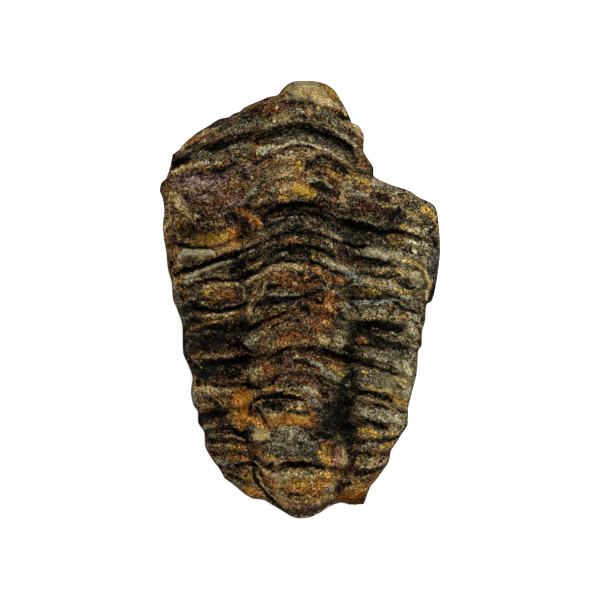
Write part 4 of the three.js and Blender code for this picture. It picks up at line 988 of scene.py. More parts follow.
weather = 1 - SMOOTH_LOSS * worn_smooth
chips = smooth_step(*CHIP_EDGE, fractal(flow_x, plain_y, size=1.7, octaves=3, seed=6))
weathering = (
    0.35 * terraces(slabs, 0.5)
    + 0.3 * terraces(flakes, 0.35)
    + 0.15 * terraces(laminae, 0.3)
    + plate_height
    + 0.15 * lumpiness
    - 0.2 * splits
    - 0.2 * chips
    + 0.08 * grains
) * ROUGHNESS * weather
rim_calm = smooth_step(0, CALM_WIDTH, to_rim) * (1 - CALM_SHARE) + CALM_SHARE
back_z = dome + rings + lumps + carved + weathering * rim_calm
back_x = (map_x - MAP_MIDDLE[0]) * STEP_MM
back_y = (MAP_MIDDLE[1] - map_y) * STEP_MM
print("highest point, mm:", round(float(back_z.max()), 2))

# %% [markdown]
# ## Flanks and underside
#
# Below the rim the stone turns in to a worn flat base. The rim is one closed loop of
# knots, and sixteen copies of it are stacked downwards, each drawn in a little more.
# Broken rock is rough in every direction, so here noise in space moves the knots in and
# out. The underside is the last copy shrunk to its middle, with pits that only go up, so
# the stone still rests on the plane.

# %% Walk round the rim
rows, columns = back_z.shape
knot = np.arange(rows * columns).reshape(rows, columns)
rim_loop = np.concatenate([knot[:-1, 0], knot[-1, :-1], knot[:0:-1, -1], knot[0, :0:-1]])
back = np.stack([back_x, back_y, back_z], axis=-1).reshape(-1, 3)
rim_points = back[rim_loop]
print("knots round the rim:", len(rim_loop))

# %% Stack the flank
BASE_SHRINK = np.array([0.87, 0.92])  # the worn base against the outline
BASE_SMOOTHING = 90  # passes that round the notches off the base
RIM_UNDERCUT = 1.7  # above 1, the flank stays full under the rim and then turns in
FLANK_RINGS = 16
ROCK_OCTAVES, ROCK_LAYERING = 5, 2.2  # its lumps are this much flatter than wide
ROCK_SHIFT = (7.3, 3.1, 5.7)  # how far apart two seeds read the noise
BULGE_MM, FINE_MM, SET_BACK_MM = 0.75, 0.18, 0.1  # bulges, roughness, step in from the rim
BULGE_SPAN = 0.85  # share of half a wave, so that some bulge is left at the base

base_outline = rim_points[:, :2] * BASE_SHRINK
for _ in range(BASE_SMOOTHING):
    neighbours = np.roll(base_outline, 1, axis=0) + np.roll(base_outline, -1, axis=0)
    base_outline = base_outline / 2 + neighbours / 4

outwards = rim_points[:, :2] / np.linalg.norm(rim_points[:, :2], axis=1)[:, None]


def rough_rock(points, size, seed):
    """Noise in space, about -1 to 1, flatter than it is wide, as layers are."""
    shift = Vector([seed * part for part in ROCK_SHIFT])
    places = [Vector((x, y, ROCK_LAYERING * z)) / size + shift for x, y, z in points]
    return np.array([noise.fractal(p, OCTAVE_FADE, OCTAVE_SCALE, ROCK_OCTAVES) for p in places])


flank = []
for ring in range(1, FLANK_RINGS + 1):
    down = ring / FLANK_RINGS
    inward = down ** RIM_UNDERCUT
    level = np.empty_like(rim_points)
    level[:, :2] = rim_points[:, :2] * (1 - inward) + base_outline * inward
    level[:, 2] = rim_points[:, 2] * (1 - down)
    bulges = terraces(rough_rock(level, size=4.0, seed=1), step=0.2)
    coarse = BULGE_MM * math.sin(math.pi * (down * BULGE_SPAN)) * bulges
    fine = FINE_MM * rough_rock(level, size=1.3, seed=2)
    level[:, :2] += outwards * (coarse + fine - SET_BACK_MM)[:, None]
    flank.append(level)
print("flank rings:", len(flank))

# %% Close the underside
UNDER_RINGS = 9
UNDER_SPACING = 0.8  # below 1, the rings lie closer together towards the middle
PIT_MM, PIT_LIFT_MM, DEEPEST_PIT_MM = 0.35, 0.05, 0.5

under = []
for ring in range(1, UNDER_RINGS + 1):
    level = flank[-1].copy()
    level[:, :2] *= 1 - (ring / (UNDER_RINGS + 1)) ** UNDER_SPACING
    pits = terraces(rough_rock(level, size=3.0, seed=3), step=0.25)
    level[:, 2] = np.clip(PIT_MM * pits + PIT_LIFT_MM, 0, DEEPEST_PIT_MM)
    under.append(level)
centre = np.zeros((1, 3))
deepest = max(level[:, 2].max() for level in under)
print("underside rings:", len(under), "deepest pit, mm:", round(float(deepest), 2))

# %% [markdown]
# ## One mesh
#
# All knots become vertices, and every square of the net a face. The normals point out of
# the stone on every side, so it is a closed solid.

# %% Build the mesh
vertices = np.concatenate([back, *flank, *under, centre]) / MM_PER_METRE
quads = np.stack([knot[:-1, :-1], knot[1:, :-1], knot[1:, 1:], knot[:-1, 1:]], axis=-1)
faces = quads.reshape(-1, 4).tolist()
upper = rim_loop
for ring in range(len(flank) + len(under)):
    lower = len(back) + ring * len(rim_loop) + np.arange(len(rim_loop))
    band = np.stack([upper, lower, np.roll(lower, -1), np.roll(upper, -1)], axis=-1)
    faces += band.tolist()
    upper = lower
middle = len(vertices) - 1
faces += [[a, middle, b] for a, b in zip(upper.tolist(), np.roll(upper, -1).tolist())]

mesh = bpy.data.meshes.new("trilobite")
mesh.from_pydata(vertices.tolist(), [], faces)
mesh.polygons.foreach_set("use_smooth", [True] * len(mesh.polygons))
mesh.update()
trilobite = bpy.data.objects.new("trilobite", mesh)
bpy.context.scene.collection.objects.link(trilobite)
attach(trilobite, "root")
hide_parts("trilobite_fossil")
print("vertices:", len(vertices), "triangles:", sum(len(f) - 2 for f in faces))

# %% [markdown]
# ## Where the colours lie
#
# Colour on this stone follows its relief. Hollows are darker, partly from black films and
# dirt and partly as painted shade, and edges are paler, partly worn and partly as painted
# light. So the first masks come from the relief itself. A knot that lies lower than the
# average of its neighbourhood is in a hollow, and one that lies higher is on an edge.

# %% Hollows and edges
def blurred(values, reach):
    """The average over a square of knots, taken twice so that it is soft."""
    for axis in (0, 1, 0, 1):
        padded = np.concatenate([
            np.repeat(np.take(values, [0], axis), reach + 1, axis),
            values,
            np.repeat(np.take(values, [-1], axis), reach, axis),
        ], axis)
        total = np.cumsum(padded, axis)
        ahead = np.take(total, range(2 * reach + 1, total.shape[axis]), axis)
        behind = np.take(total, range(0, total.shape[axis] - 2 * reach - 1), axis)
        values = (ahead - behind) / (2 * reach + 1)
    return values


def against_neighbours(reach, scale_mm):
    """A knot's height against the average within reach: near -1 in a hollow, 1 on an edge."""
    return np.tanh((back_z - blurred(back_z, reach)) / scale_mm)


fine_height = against_neighbours(reach=3, scale_mm=0.25)
broad_height = against_neighbours(reach=9, scale_mm=0.9)
spreads = [round(float(height.std()), 2) for height in (fine_height, broad_height)]
print("spread of fine and broad heights:", spreads)

# %% [markdown]
# The other masks are stains, placed one by one on the map: iron rust, yellow ochre, black
# (dark films, with painted shade in the grooves), bone-pale worn shell, grey shell, a mauve
# bloom that is strongest on the left cheek, brick-red spots and a few slate-grey edges. Each
# is a soft ellipse, turned where it has a last number. Noise will break its edge later.

# %% Stains: strength, x, y, reach along, reach across, turn
STAINS = {}
STAINS["rust"] = [
    (0.5, 195, 139, 25, 7, -33), (0.4, 270, 106, 14, 5, -18), (0.2, 285, 164, 26, 7, -5),
    (0.9, 250, 217, 17, 5, 42), (0.8, 239, 233, 12, 12), (0.5, 168, 215, 5, 26), (0.5, 222, 297, 21, 9),
    (0.8, 296, 283, 24, 8), (0.6, 330, 304, 14, 14, 30), (0.5, 245, 311, 7, 6), (0.2, 300, 325, 36, 11),
    (0.95, 240, 400, 12, 15), (0.9, 254, 418, 13, 6, 25), (0.95, 292, 420, 26, 7),
    (0.7, 300, 489, 28, 8), (0.7, 326, 450, 8, 12, 20), (0.8, 373, 483, 14, 5, -25),
    (0.95, 354, 497, 18, 8), (0.7, 250, 493, 11, 6, 30), (0.5, 362, 212, 12, 6), (0.4, 235, 455, 15, 6),
    (0.5, 268, 478, 10, 12), (0.4, 330, 280, 12, 5, 20), (0.5, 355, 132, 6, 9),
    (0.45, 395, 172, 12, 4, 25), (0.5, 282, 340, 16, 6, -10), (0.5, 313, 415, 8, 8),
]
STAINS["ochre"] = [
    (0.6, 333, 93, 8, 12, 30), (0.9, 303, 191, 17, 8), (0.6, 340, 176, 13, 5, 20),
    (0.6, 296, 166, 7, 7), (0.6, 213, 234, 20, 8, 5), (0.7, 236, 236, 8, 8), (0.9, 423, 209, 4, 4),
    (0.4, 397, 239, 14, 4, 5), (0.35, 318, 258, 15, 6, 20), (0.35, 386, 314, 22, 4, 3),
    (0.6, 385, 392, 22, 3, 20), (0.7, 401, 404, 12, 3, 20), (0.35, 330, 359, 17, 6, 25),
    (0.55, 256, 372, 12, 7), (0.3, 371, 430, 13, 5, -10), (0.8, 391, 445, 8, 3, -10),
    (0.7, 325, 456, 5, 9), (0.5, 300, 268, 40, 4), (0.6, 300, 481, 12, 4), (0.5, 228, 286, 14, 3),
    (0.9, 251, 493, 7, 4, 20), (0.6, 352, 488, 14, 3, -20), (0.6, 233, 447, 9, 4),
    (0.5, 370, 452, 12, 4, -15), (0.55, 288, 416, 16, 3), (0.4, 262, 503, 34, 5, 22),
]
# black stains: dark film, and painted shade in the grooves
STAINS["black"] = [
    (0.5, 300, 128, 56, 9), (0.7, 214, 147, 30, 8, -20), (0.85, 180, 161, 12, 7),
    (0.5, 341, 142, 15, 6, 42), (0.75, 315, 167, 12, 7, 15), (0.7, 330, 191, 16, 6, 25),
    (0.95, 302, 206, 42, 6), (0.6, 186, 228, 17, 9), (0.75, 256, 226, 16, 9, -20),
    (0.7, 335, 222, 18, 7, 25), (0.75, 378, 197, 11, 5, 10), (0.85, 395, 221, 12, 9),
    (0.9, 366, 229, 26, 6, 18), (0.8, 270, 252, 18, 5, -10), (0.9, 222, 259, 24, 4, -20),
    (0.8, 280, 301, 26, 6), (0.85, 215, 308, 26, 4, 3), (0.75, 235, 327, 18, 7),
    (0.9, 215, 342, 30, 10), (0.85, 232, 366, 20, 8, -15), (0.7, 208, 372, 22, 8),
    (0.8, 377, 327, 27, 7, 6), (0.75, 372, 342, 24, 6, 5), (0.7, 375, 270, 26, 4, 4),
    (0.75, 385, 293, 26, 5, 5), (0.7, 340, 325, 14, 5, 30), (0.75, 280, 359, 13, 7),
    (0.98, 277, 396, 27, 5, -6), (0.8, 325, 388, 16, 5, 20), (0.75, 342, 408, 11, 26),
    (0.8, 326, 410, 14, 9), (0.95, 241, 436, 14, 7, 10), (0.8, 215, 421, 22, 5),
    (0.7, 295, 464, 26, 3.5), (0.75, 300, 512, 24, 7), (0.7, 225, 440, 22, 4),
    (0.8, 222, 465, 20, 5, 10), (0.8, 262, 462, 12, 5, 20), (0.7, 293, 494, 9, 3),
    (0.8, 352, 447, 8, 22), (0.75, 368, 441, 24, 3), (0.75, 372, 471, 20, 4, -10),
    (0.8, 336, 490, 5, 14, 10), (0.6, 398, 424, 22, 3, 10), (0.6, 437, 250, 3, 34),
    (0.7, 383, 363, 30, 3, 14), (0.8, 352, 352, 10, 14), (0.7, 185, 200, 14, 5), (0.6, 222, 385, 22, 4),
    (0.75, 248, 285, 5, 20), (0.6, 349, 300, 6, 16), (0.6, 270, 487, 5, 20, -35),
    (0.5, 300, 240, 34, 4), (0.6, 375, 212, 10, 6),
]
STAINS["bone"] = [
    (0.95, 305, 92, 24, 11), (0.7, 266, 151, 11, 6, -10), (0.6, 290, 116, 14, 5),
    (0.95, 197, 253, 20, 4, -3), (0.7, 207, 268, 24, 3, -18), (0.6, 220, 284, 20, 3),
    (0.9, 380, 253, 20, 7, 14), (0.6, 398, 262, 10, 5, 20), (0.6, 390, 283, 24, 4, 5),
    (0.6, 388, 304, 26, 3, 4), (0.8, 283, 254, 4, 4), (0.7, 331, 236, 12, 4, 35),
    (0.5, 282, 266, 30, 4, -5), (0.7, 251, 341, 9, 8, -20), (0.6, 205, 393, 20, 6),
    (0.6, 252, 372, 8, 6), (0.6, 222, 313, 20, 3, -3), (0.6, 395, 356, 22, 5, 10),
    (0.98, 291, 430, 4, 4), (0.85, 260, 433, 10, 6, 10), (0.6, 305, 388, 15, 3, 5),
    (0.6, 284, 474, 17, 4), (0.55, 271, 487, 6, 12, -30), (0.6, 373, 462, 14, 5, -10),
    # the spot at x 413, y 251 on the next line is a painted glint
    (0.7, 346, 307, 9, 6, 20), (0.8, 413, 251, 3, 3), (0.55, 213, 356, 25, 3),
    (0.5, 410, 212, 14, 9, 20), (0.6, 340, 343, 8, 8), (0.5, 206, 184, 20, 3), (0.5, 192, 266, 14, 4),
    (0.5, 357, 133, 6, 9), (0.5, 367, 163, 6, 8), (0.6, 193, 400, 4, 16), (0.5, 285, 501, 14, 4, 20),
    (0.5, 414, 340, 5, 30), (0.55, 409, 258, 17, 10, 20), (0.5, 378, 312, 20, 5),
    (0.5, 403, 390, 10, 22, 15),
]
STAINS["grey"] = [
    (0.8, 296, 444, 32, 14), (0.6, 388, 378, 28, 8, 18), (0.6, 385, 413, 26, 6, 8),
    (0.6, 390, 187, 20, 6, 22), (0.5, 285, 222, 28, 6), (0.5, 318, 400, 20, 6, 5),
    (0.6, 345, 235, 14, 6, 20), (0.6, 215, 371, 22, 6), (0.5, 410, 215, 14, 9),
    (0.6, 212, 267, 22, 7, -15), (0.5, 222, 460, 14, 4, 10), (0.5, 300, 114, 24, 5),
    (0.6, 434, 255, 6, 34), (0.5, 355, 303, 18, 4, 10), (0.4, 290, 138, 30, 4), (0.4, 400, 330, 16, 8),
    (0.4, 395, 440, 10, 8),
]
STAINS["mauve"] = [
    (0.55, 203, 184, 34, 9, 2), (0.6, 194, 198, 20, 8), (0.6, 222, 203, 22, 14), (0.3, 300, 379, 22, 6),
    (0.3, 330, 318, 16, 7, 20), (0.4, 240, 170, 20, 7, -10), (0.5, 290, 366, 7, 8),
    (0.35, 355, 208, 20, 7),
]
STAINS["brick"] = [
    (0.4, 293, 280, 8, 5), (0.4, 292, 361, 8, 7), (0.75, 358, 341, 9, 5), (0.6, 366, 209, 20, 6),
    (0.5, 240, 200, 12, 9), (0.6, 238, 296, 7, 10), (0.5, 302, 246, 30, 5), (0.5, 215, 420, 20, 5),
    (0.5, 300, 327, 30, 8), (0.2, 248, 116, 26, 6, -20), (0.3, 335, 268, 12, 5, 30),
]
STAINS["slate"] = [
    (0.45, 352, 277, 14, 6, 32), (0.45, 370, 302, 28, 4), (0.4, 435, 262, 6, 22),
    (0.35, 212, 370, 22, 5), (0.35, 385, 190, 14, 5, 22), (0.3, 296, 444, 22, 9),
]
print({name: len(spots) for name, spots in STAINS.items()})

# %% [markdown]
# Last come the slower changes of light and hue. The wide ones come first: the left side is
# darker, as painted shade, the neck and the middle of the axis are darker too, the right side
# is more olive and its hind part paler, as painted light, and the tail is warmer, since brown
# rock shows there. Then come patches, from head to tail. Each is a soft ellipse: tone,
# warmth, x, y, the two reaches and any turn. A warmth below zero is more olive.

# %% Slow changes of tone and warmth, wide ones and patches
BROAD = [
    # wide; the darker left side and the paler hind part of the right side are painted shade and light
    (0, -0.8, 392, 300, 56, 130, 10), (0, -0.8, 308, 236, 54, 40), (0.02, 1.2, 300, 492, 70, 26),
    (-0.14, 0, 222, 345, 44, 40), (0, 0.8, 215, 380, 40, 40), (-0.2, 0, 188, 322, 30, 52, 5),
    (-0.06, 0.8, 170, 262, 14, 90), (-0.14, 0.1, 300, 288, 56, 16), (-0.03, 0.5, 302, 93, 44, 20),
    (-0.18, 0.2, 202, 408, 24, 36), (-0.16, 0.6, 288, 334, 40, 20, -10),
    (0.2, 0.2, 402, 392, 15, 52, 18), (-0.2, 0.1, 295, 222, 48, 16, 4),
    (-0.22, 0.2, 300, 252, 60, 12, 6),
    # head
    (0.1, 0, 300, 84, 18, 5), (0.3, 0, 308, 81, 24, 4), (0.26, 0, 320, 102, 14, 6, 15),
    (0.18, 0, 321, 102, 8, 5, 10), (-0.18, 0, 247, 115, 10, 5, -20), (-0.12, 0, 249, 117, 14, 6, -25),
    (0, -0.5, 265, 115, 24, 10, -10), (-0.26, 0.3, 208, 124, 56, 12, -28),
    (-0.14, 0, 278, 120, 12, 5, -15), (0, -0.4, 280, 128, 26, 14), (0.26, 0, 300, 126, 50, 7),
    (-0.14, -0.2, 322, 121, 12, 5, 20), (0.12, 0.2, 195, 135, 16, 5, -35), (0.1, 0, 210, 139, 22, 5),
    (0.12, 0, 255, 136, 12, 6), (-0.06, 0, 347, 131, 16, 9, 45), (-0.2, 0, 234, 152, 16, 8),
    (0.14, 0, 307, 158, 11, 5), (0.16, 0, 314, 152, 14, 6, 15), (-0.14, 0, 350, 158, 8, 6, 40),
    (0, -0.6, 209, 160, 22, 6), (0.16, 0.2, 247, 161, 10, 8), (-0.14, 0, 284, 168, 9, 5),
    (0.1, 0, 333, 162, 10, 4, 30), (-0.08, 0.1, 338, 162, 22, 8, 32), (0.18, 0.1, 358, 160, 12, 9, 45),
    (-0.16, -0.2, 206, 177, 30, 6, 4), (0, 0.2, 208, 170, 34, 12), (0.12, 0.1, 254, 176, 10, 7),
    (0.14, 0.3, 298, 174, 18, 12), (0.14, 0, 299, 178, 14, 5), (-0.14, 0, 309, 171, 6, 5),
    (-0.14, 0, 334, 171, 12, 5, 35), (-0.36, 0, 339, 173, 10, 5, 30), (0.14, 0, 350, 174, 10, 6, 35),
    (-0.16, 0, 351, 176, 15, 5, 20), (0, -0.4, 357, 172, 10, 14), (0.1, 0, 360, 178, 16, 6, 25),
    (-0.1, 0.2, 372, 172, 22, 9, 30),
    # neck and first ribs
    (-0.14, 0, 175, 186, 12, 6), (0.28, 0.3, 355, 185, 30, 8, 20), (0.16, 0.1, 174, 194, 7, 10),
    (-0.12, 0, 200, 191, 7, 6), (0.16, 0, 214, 194, 44, 14), (0, 0.4, 236, 190, 22, 6, -10),
    (0, 0.5, 243, 190, 10, 6), (0.16, 0.4, 290, 190, 22, 8), (-0.24, 0, 320, 191, 14, 7, 20),
    (0.18, 0.3, 394, 196, 42, 14, 24), (0.12, 0, 180, 201, 9, 8), (0.1, 0, 176, 218, 8, 10),
    (0.14, 0, 430, 216, 9, 8), (-0.28, 0, 204, 224, 14, 10), (0, 0.5, 210, 226, 17, 6),
    (0, 0.8, 218, 224, 16, 7), (-0.26, 0, 230, 220, 7, 8), (-0.12, 0, 267, 227, 8, 8),
    (-0.16, 0, 310, 220, 9, 6), (-0.14, 0, 382, 220, 10, 6), (-0.12, 0, 417, 220, 5, 8),
    (-0.14, 0, 207, 235, 8, 6), (0.1, 0, 229, 238, 8, 6), (-0.26, 0.1, 355, 234, 36, 12, 15),
    (0.14, 0, 409, 230, 12, 6, 10), (0.12, 0, 411, 231, 14, 6, 10), (0.3, 0.4, 225, 246, 26, 6, -5),
    (0.1, 0, 265, 246, 20, 5, -15), (-0.12, 0, 330, 247, 16, 4, 20), (0.22, 0, 412, 240, 14, 18),
    (0.12, 0, 376, 258, 16, 4, 10), (0, -0.5, 378, 252, 40, 10, 8), (0.12, 0, 384, 258, 20, 4, 12),
    (0, -0.4, 388, 252, 26, 8, 5), (-0.16, -0.3, 226, 265, 12, 9, -25),
    (-0.2, 0.2, 246, 264, 18, 8, -25), (0.14, 0, 266, 269, 16, 4, -25), (-0.12, 0, 276, 260, 20, 4, -5),
    (0.12, 0, 325, 267, 12, 5, 30), (0.12, 0, 267, 274, 20, 4, -5), (0.32, 0.1, 360, 272, 22, 9, 5),
    (0.1, 0, 402, 273, 14, 6, 10), (0.26, 0, 406, 270, 18, 12), (0.14, 0, 435, 270, 8, 26),
    (0.24, 0.4, 186, 280, 18, 12), (0, -0.4, 320, 285, 10, 7), (0.12, 0, 346, 282, 10, 5, 20),
    # middle
    (-0.1, 0, 252, 291, 22, 4), (0.26, 0.2, 388, 290, 20, 7), (0.18, 0.3, 250, 300, 9, 18),
    (0.14, 0, 345, 300, 8, 6), (-0.12, 0, 390, 306, 16, 4, 5), (-0.12, 0, 392, 307, 9, 6),
    (-0.1, 0, 180, 316, 5, 16), (-0.14, 0, 267, 312, 9, 6, -30), (-0.1, 0, 270, 312, 16, 5, -15),
    (-0.12, 0, 347, 310, 7, 6), (0.24, 0, 350, 314, 16, 9), (-0.1, 0, 362, 311, 12, 6),
    (-0.16, 0, 412, 319, 9, 5, 30), (0.16, 0, 347, 324, 9, 10), (-0.1, 0, 374, 328, 34, 10, 6),
    (0.14, 0, 400, 328, 18, 4, 10), (0.14, 0, 412, 328, 8, 12), (0.08, 0.1, 416, 326, 12, 18),
    (0.12, 0, 286, 337, 9, 9), (0.14, 0, 321, 332, 7, 16), (0.16, 0.1, 284, 344, 14, 9),
    (0.14, 0, 332, 340, 8, 9, 30), (0, -0.4, 385, 340, 24, 8), (0, -0.4, 230, 355, 18, 4),
    (-0.14, 0, 257, 350, 6, 10), (-0.24, 0, 334, 354, 14, 16), (-0.05, 0.4, 300, 368, 36, 10),
    (-0.14, 0, 315, 366, 9, 6, 20), (0.26, 0, 382, 362, 24, 7, 16), (0.08, 0, 385, 366, 16, 4, 20),
    (-0.16, 0, 401, 360, 12, 4, 20), (-0.14, 0, 238, 378, 12, 6), (0.16, 0, 410, 372, 12, 4, 25),
    (0.16, 0.2, 203, 386, 12, 6), (-0.25, 0, 288, 384, 18, 6), (0.14, 0, 351, 381, 8, 8),
    (0.26, 0, 379, 389, 14, 6, 15),
    # lower ribs
    (0, 0.5, 206, 395, 16, 9), (-0.24, 0, 227, 395, 9, 6), (0.24, 0.2, 252, 398, 8, 8),
    (0.32, 0.2, 311, 398, 14, 8, 5), (0.18, 0, 350, 390, 9, 10), (0.08, 0.1, 238, 400, 10, 9),
    (0.16, 0, 250, 406, 8, 12), (0.04, 0, 362, 400, 18, 22), (-0.12, 0, 325, 417, 9, 9),
    (0.18, 0, 405, 416, 9, 10, 15), (0.14, 0.3, 250, 424, 10, 4, 15), (0.12, 0, 254, 420, 9, 6, 20),
    (0.2, 0.3, 267, 428, 9, 5), (0, 0.4, 270, 420, 16, 6), (0.24, 0.2, 290, 427, 20, 4),
    (-0.3, 0.1, 332, 424, 12, 26), (-0.12, 0, 210, 437, 9, 8), (0.14, 0.3, 275, 436, 40, 12),
    (0.12, 0, 388, 430, 14, 7), (0.1, 0, 395, 432, 12, 12), (0.2, 0, 395, 430, 10, 5),
    (-0.14, 0, 205, 441, 6, 10), (-0.06, 0.2, 318, 440, 10, 8), (0, -0.9, 334, 441, 10, 9),
    (0.14, 0, 342, 446, 9, 16), (0.18, 0.1, 366, 440, 16, 10),
    # tail
    (-0.02, 0, 290, 450, 30, 10), (0.12, 0, 352, 458, 12, 12), (0.12, 0, 240, 461, 10, 5),
    (0.14, 0.3, 270, 464, 14, 12), (0.12, 0, 326, 461, 9, 6), (0.16, 0.1, 345, 460, 5, 12),
    (-0.14, 0.5, 224, 470, 26, 24, 30), (0.16, 0.1, 292, 474, 24, 9), (-0.12, 0, 250, 484, 7, 8),
    (0.04, 1, 262, 484, 16, 14, 40), (0.14, 0, 275, 489, 7, 9, -35), (0, 0.4, 333, 487, 18, 10),
    (-0.12, 0, 243, 491, 20, 6, 30),
]
BROAD_EDGE = (1.4, 0.3)  # distances where an ellipse begins and is full
WARMTH_LIMITS = (-1, 1.2)

ragged = 0.45 * fractal(flow_x, plain_y, size=2.2, seed=8)
slow_tone, warmth = np.zeros_like(map_x), np.zeros_like(map_x)
for lift, warm, *place in BROAD:
    soft = smooth_step(*BROAD_EDGE, from_middle(*place) + 0.5 * ragged)
    slow_tone += lift * soft
    warmth += warm * soft
warmth = np.clip(warmth, *WARMTH_LIMITS)
print("slow tone:", span(slow_tone))

# %% [markdown]
# A stain's soft edge would look sprayed on. Noise added to the distance from its middle
# gives it a ragged shore. The strokes are painted over the stains: each takes away the hues
# below it, but a black stroke, dark film and painted shade, is thin and lets most of them
# through.

# %% Stains, and strokes over them
STAIN_EDGE = (1.3, 0.6)  # distances where a stain begins and is full
FILM_AND_SHADE_COVER = 0.3  # share of the hues below that a black stroke takes away

masks = {hue: np.zeros(map_x.size) for hue in ("tan", "orange")}
for name, spots in STAINS.items():
    mask = np.zeros_like(map_x)
    for strength, *place in spots:
        soft = smooth_step(*STAIN_EDGE, from_middle(*place) + ragged)
        mask = np.maximum(mask, strength * soft)
    masks[name] = mask.ravel()
shade = np.zeros(map_x.size)
for hue, lift, near, share in drawn:
    keep = 1 - share
    for mask in masks.values():
        mask[near] *= keep if hue != "black" else 1 - FILM_AND_SHADE_COVER * share
    masks[hue][near] += (1 - masks[hue][near]) * share
    shade[near] = shade[near] * keep + lift * share
print("hues:", list(masks))

# %% [markdown]
# A mask is stored on the mesh as one number for each vertex. The flank takes the values of
# the rim above it and loses them on the way down, where a dusty brown with some patches of
# each hue covers everything.

# %% Write the masks on the mesh
FLANK_FADE = 1.6  # above 1, the rim's values are gone before the base
PATCH_MM = 5.0
FLANK_HUE, HUE_PATCHES, FIRST_HUE_SEED = 0.1, 0.9, 31
FLANK_SHADE, SHADE_PATCHES, SHADE_SEED = -0.06, 0.35, 50
FLANK_WARMTH = 0.1
STROKE_TONE = 0.55  # share of a stroke's shift of tone that counts


def whole_stone(back_values, flank_value=0.0, patchy=0.0, seed=0):
    """Mask values for every vertex: the back's own, faded down the flank into patches."""
    rim_values = back_values.ravel()[rim_loop]
    levels = [back_values.ravel()]
    for number, level in enumerate([*flank, *under], start=1):
        keep = max(0.0, 1 - FLANK_FADE * number / FLANK_RINGS)
        patches = patchy * rough_rock(level, PATCH_MM, seed) if patchy else 0
        levels.append(rim_values * keep + (flank_value + patches) * (1 - keep))
    levels.append(np.array([flank_value]))
    return np.concatenate(levels)


def write_mask(name, values):
    """Stores one number for each vertex under a name."""
    mask = mesh.attributes.new(name, "FLOAT", "POINT")
    mask.data.foreach_set("value", values.astype(np.float32))


for seed, (name, mask) in enumerate(masks.items(), start=FIRST_HUE_SEED):
    write_mask(name, whole_stone(mask, FLANK_HUE, HUE_PATCHES, seed))
all_shade = STROKE_TONE * shade + slow_tone.ravel()
write_mask("shade", whole_stone(all_shade, FLANK_SHADE, SHADE_PATCHES, SHADE_SEED))
write_mask("warmth", whole_stone(warmth, FLANK_WARMTH))
relief_masks = {
    "plate_shade": 0.6 * (small_plate[0] - 0.5) + 0.5 * (big_plate[0] - 0.5),
    "plate_hue": 0.6 * big_plate[1] + 0.4 * small_plate[1] - 0.5,
    "seam": seams,
    "smoothness": worn_smooth,
    "fine_height": fine_height,
    "broad_height": broad_height,
}
for name, values in relief_masks.items():
    write_mask(name, whole_stone(values))
print("masks:", [a.name for a in mesh.attributes if a.data_type == "FLOAT"])

# %% [markdown]
# Noise in the material has to follow the animal too, so the place on the animal is stored.

# %% Write the place on the animal
BACK_HEIGHT, FLANK_HEIGHT = 0.3, 1.5  # how much a millimetre of height counts

flow = mesh.attributes.new("flow", "FLOAT_VECTOR", "POINT")
flow_on_back = np.stack([flow_x, flow_y, back_z * BACK_HEIGHT], axis=-1).reshape(-1, 3)
flow_below = vertices[len(back):] * MM_PER_METRE * (1, 1, FLANK_HEIGHT)
flow_everywhere = np.concatenate([flow_on_back, flow_below])
flow.data.foreach_set("vector", flow_everywhere.astype(np.float32).ravel())
print("places stored:", len(flow_everywhere))

# %% [markdown]
# ## Sums with sockets
#
# A material is a net of nodes, and written node by node its arithmetic is hard to read.
# The class below wraps a socket that carries a number. Adding or multiplying two of them
# adds the Math node, so a mask can be written as 1 - mask * 0.5.

# %% A number on a wire
class Wire:
    """A number that varies over the surface. Arithmetic on it adds Math nodes."""

    def __init__(self, recipe, socket):
        self.recipe, self.socket = recipe, socket

    def math(self, operation, first, second):
        settings = {"operation": operation}
        return self.recipe.node("ShaderNodeMath", settings, {0: first, 1: second})

    def __add__(self, other):
        return self.math("ADD", self, other)

    def __sub__(self, other):
        return self.math("SUBTRACT", self, other)

    def __rsub__(self, other):
        return self.math("SUBTRACT", other, self)

    def __mul__(self, other):
        return self.math("MULTIPLY", self, other)

    __radd__, __rmul__ = __add__, __mul__

    def __abs__(self):
        return self.math("ABSOLUTE", self, 0)

    def between(self, low, high):
        """0 up to low, 1 from high on, and a soft step between them."""
        settings = {"interpolation_type": "SMOOTHSTEP", "clamp": True}
        sockets = {"Value": self, "From Min": low, "From Max": high}
        return self.recipe.node("ShaderNodeMapRange", settings, sockets)


# %% [markdown]
# The recipe is the material under construction. One method adds any node: it takes the
# node's type, its settings, and what goes into its sockets, either values or wires. The
# others name the few things this stone needs over and over.

# %% A recipe for a material
def tint(red, green, blue):
    """A colour picked on a screen, 0 to 255, as the linear numbers a shader takes."""
    parts = [part / 255 for part in (red, green, blue)]
    return (*[p / 12.92 if p <= 0.04045 else ((p + 0.055) / 1.055) ** 2.4 for p in parts], 1)


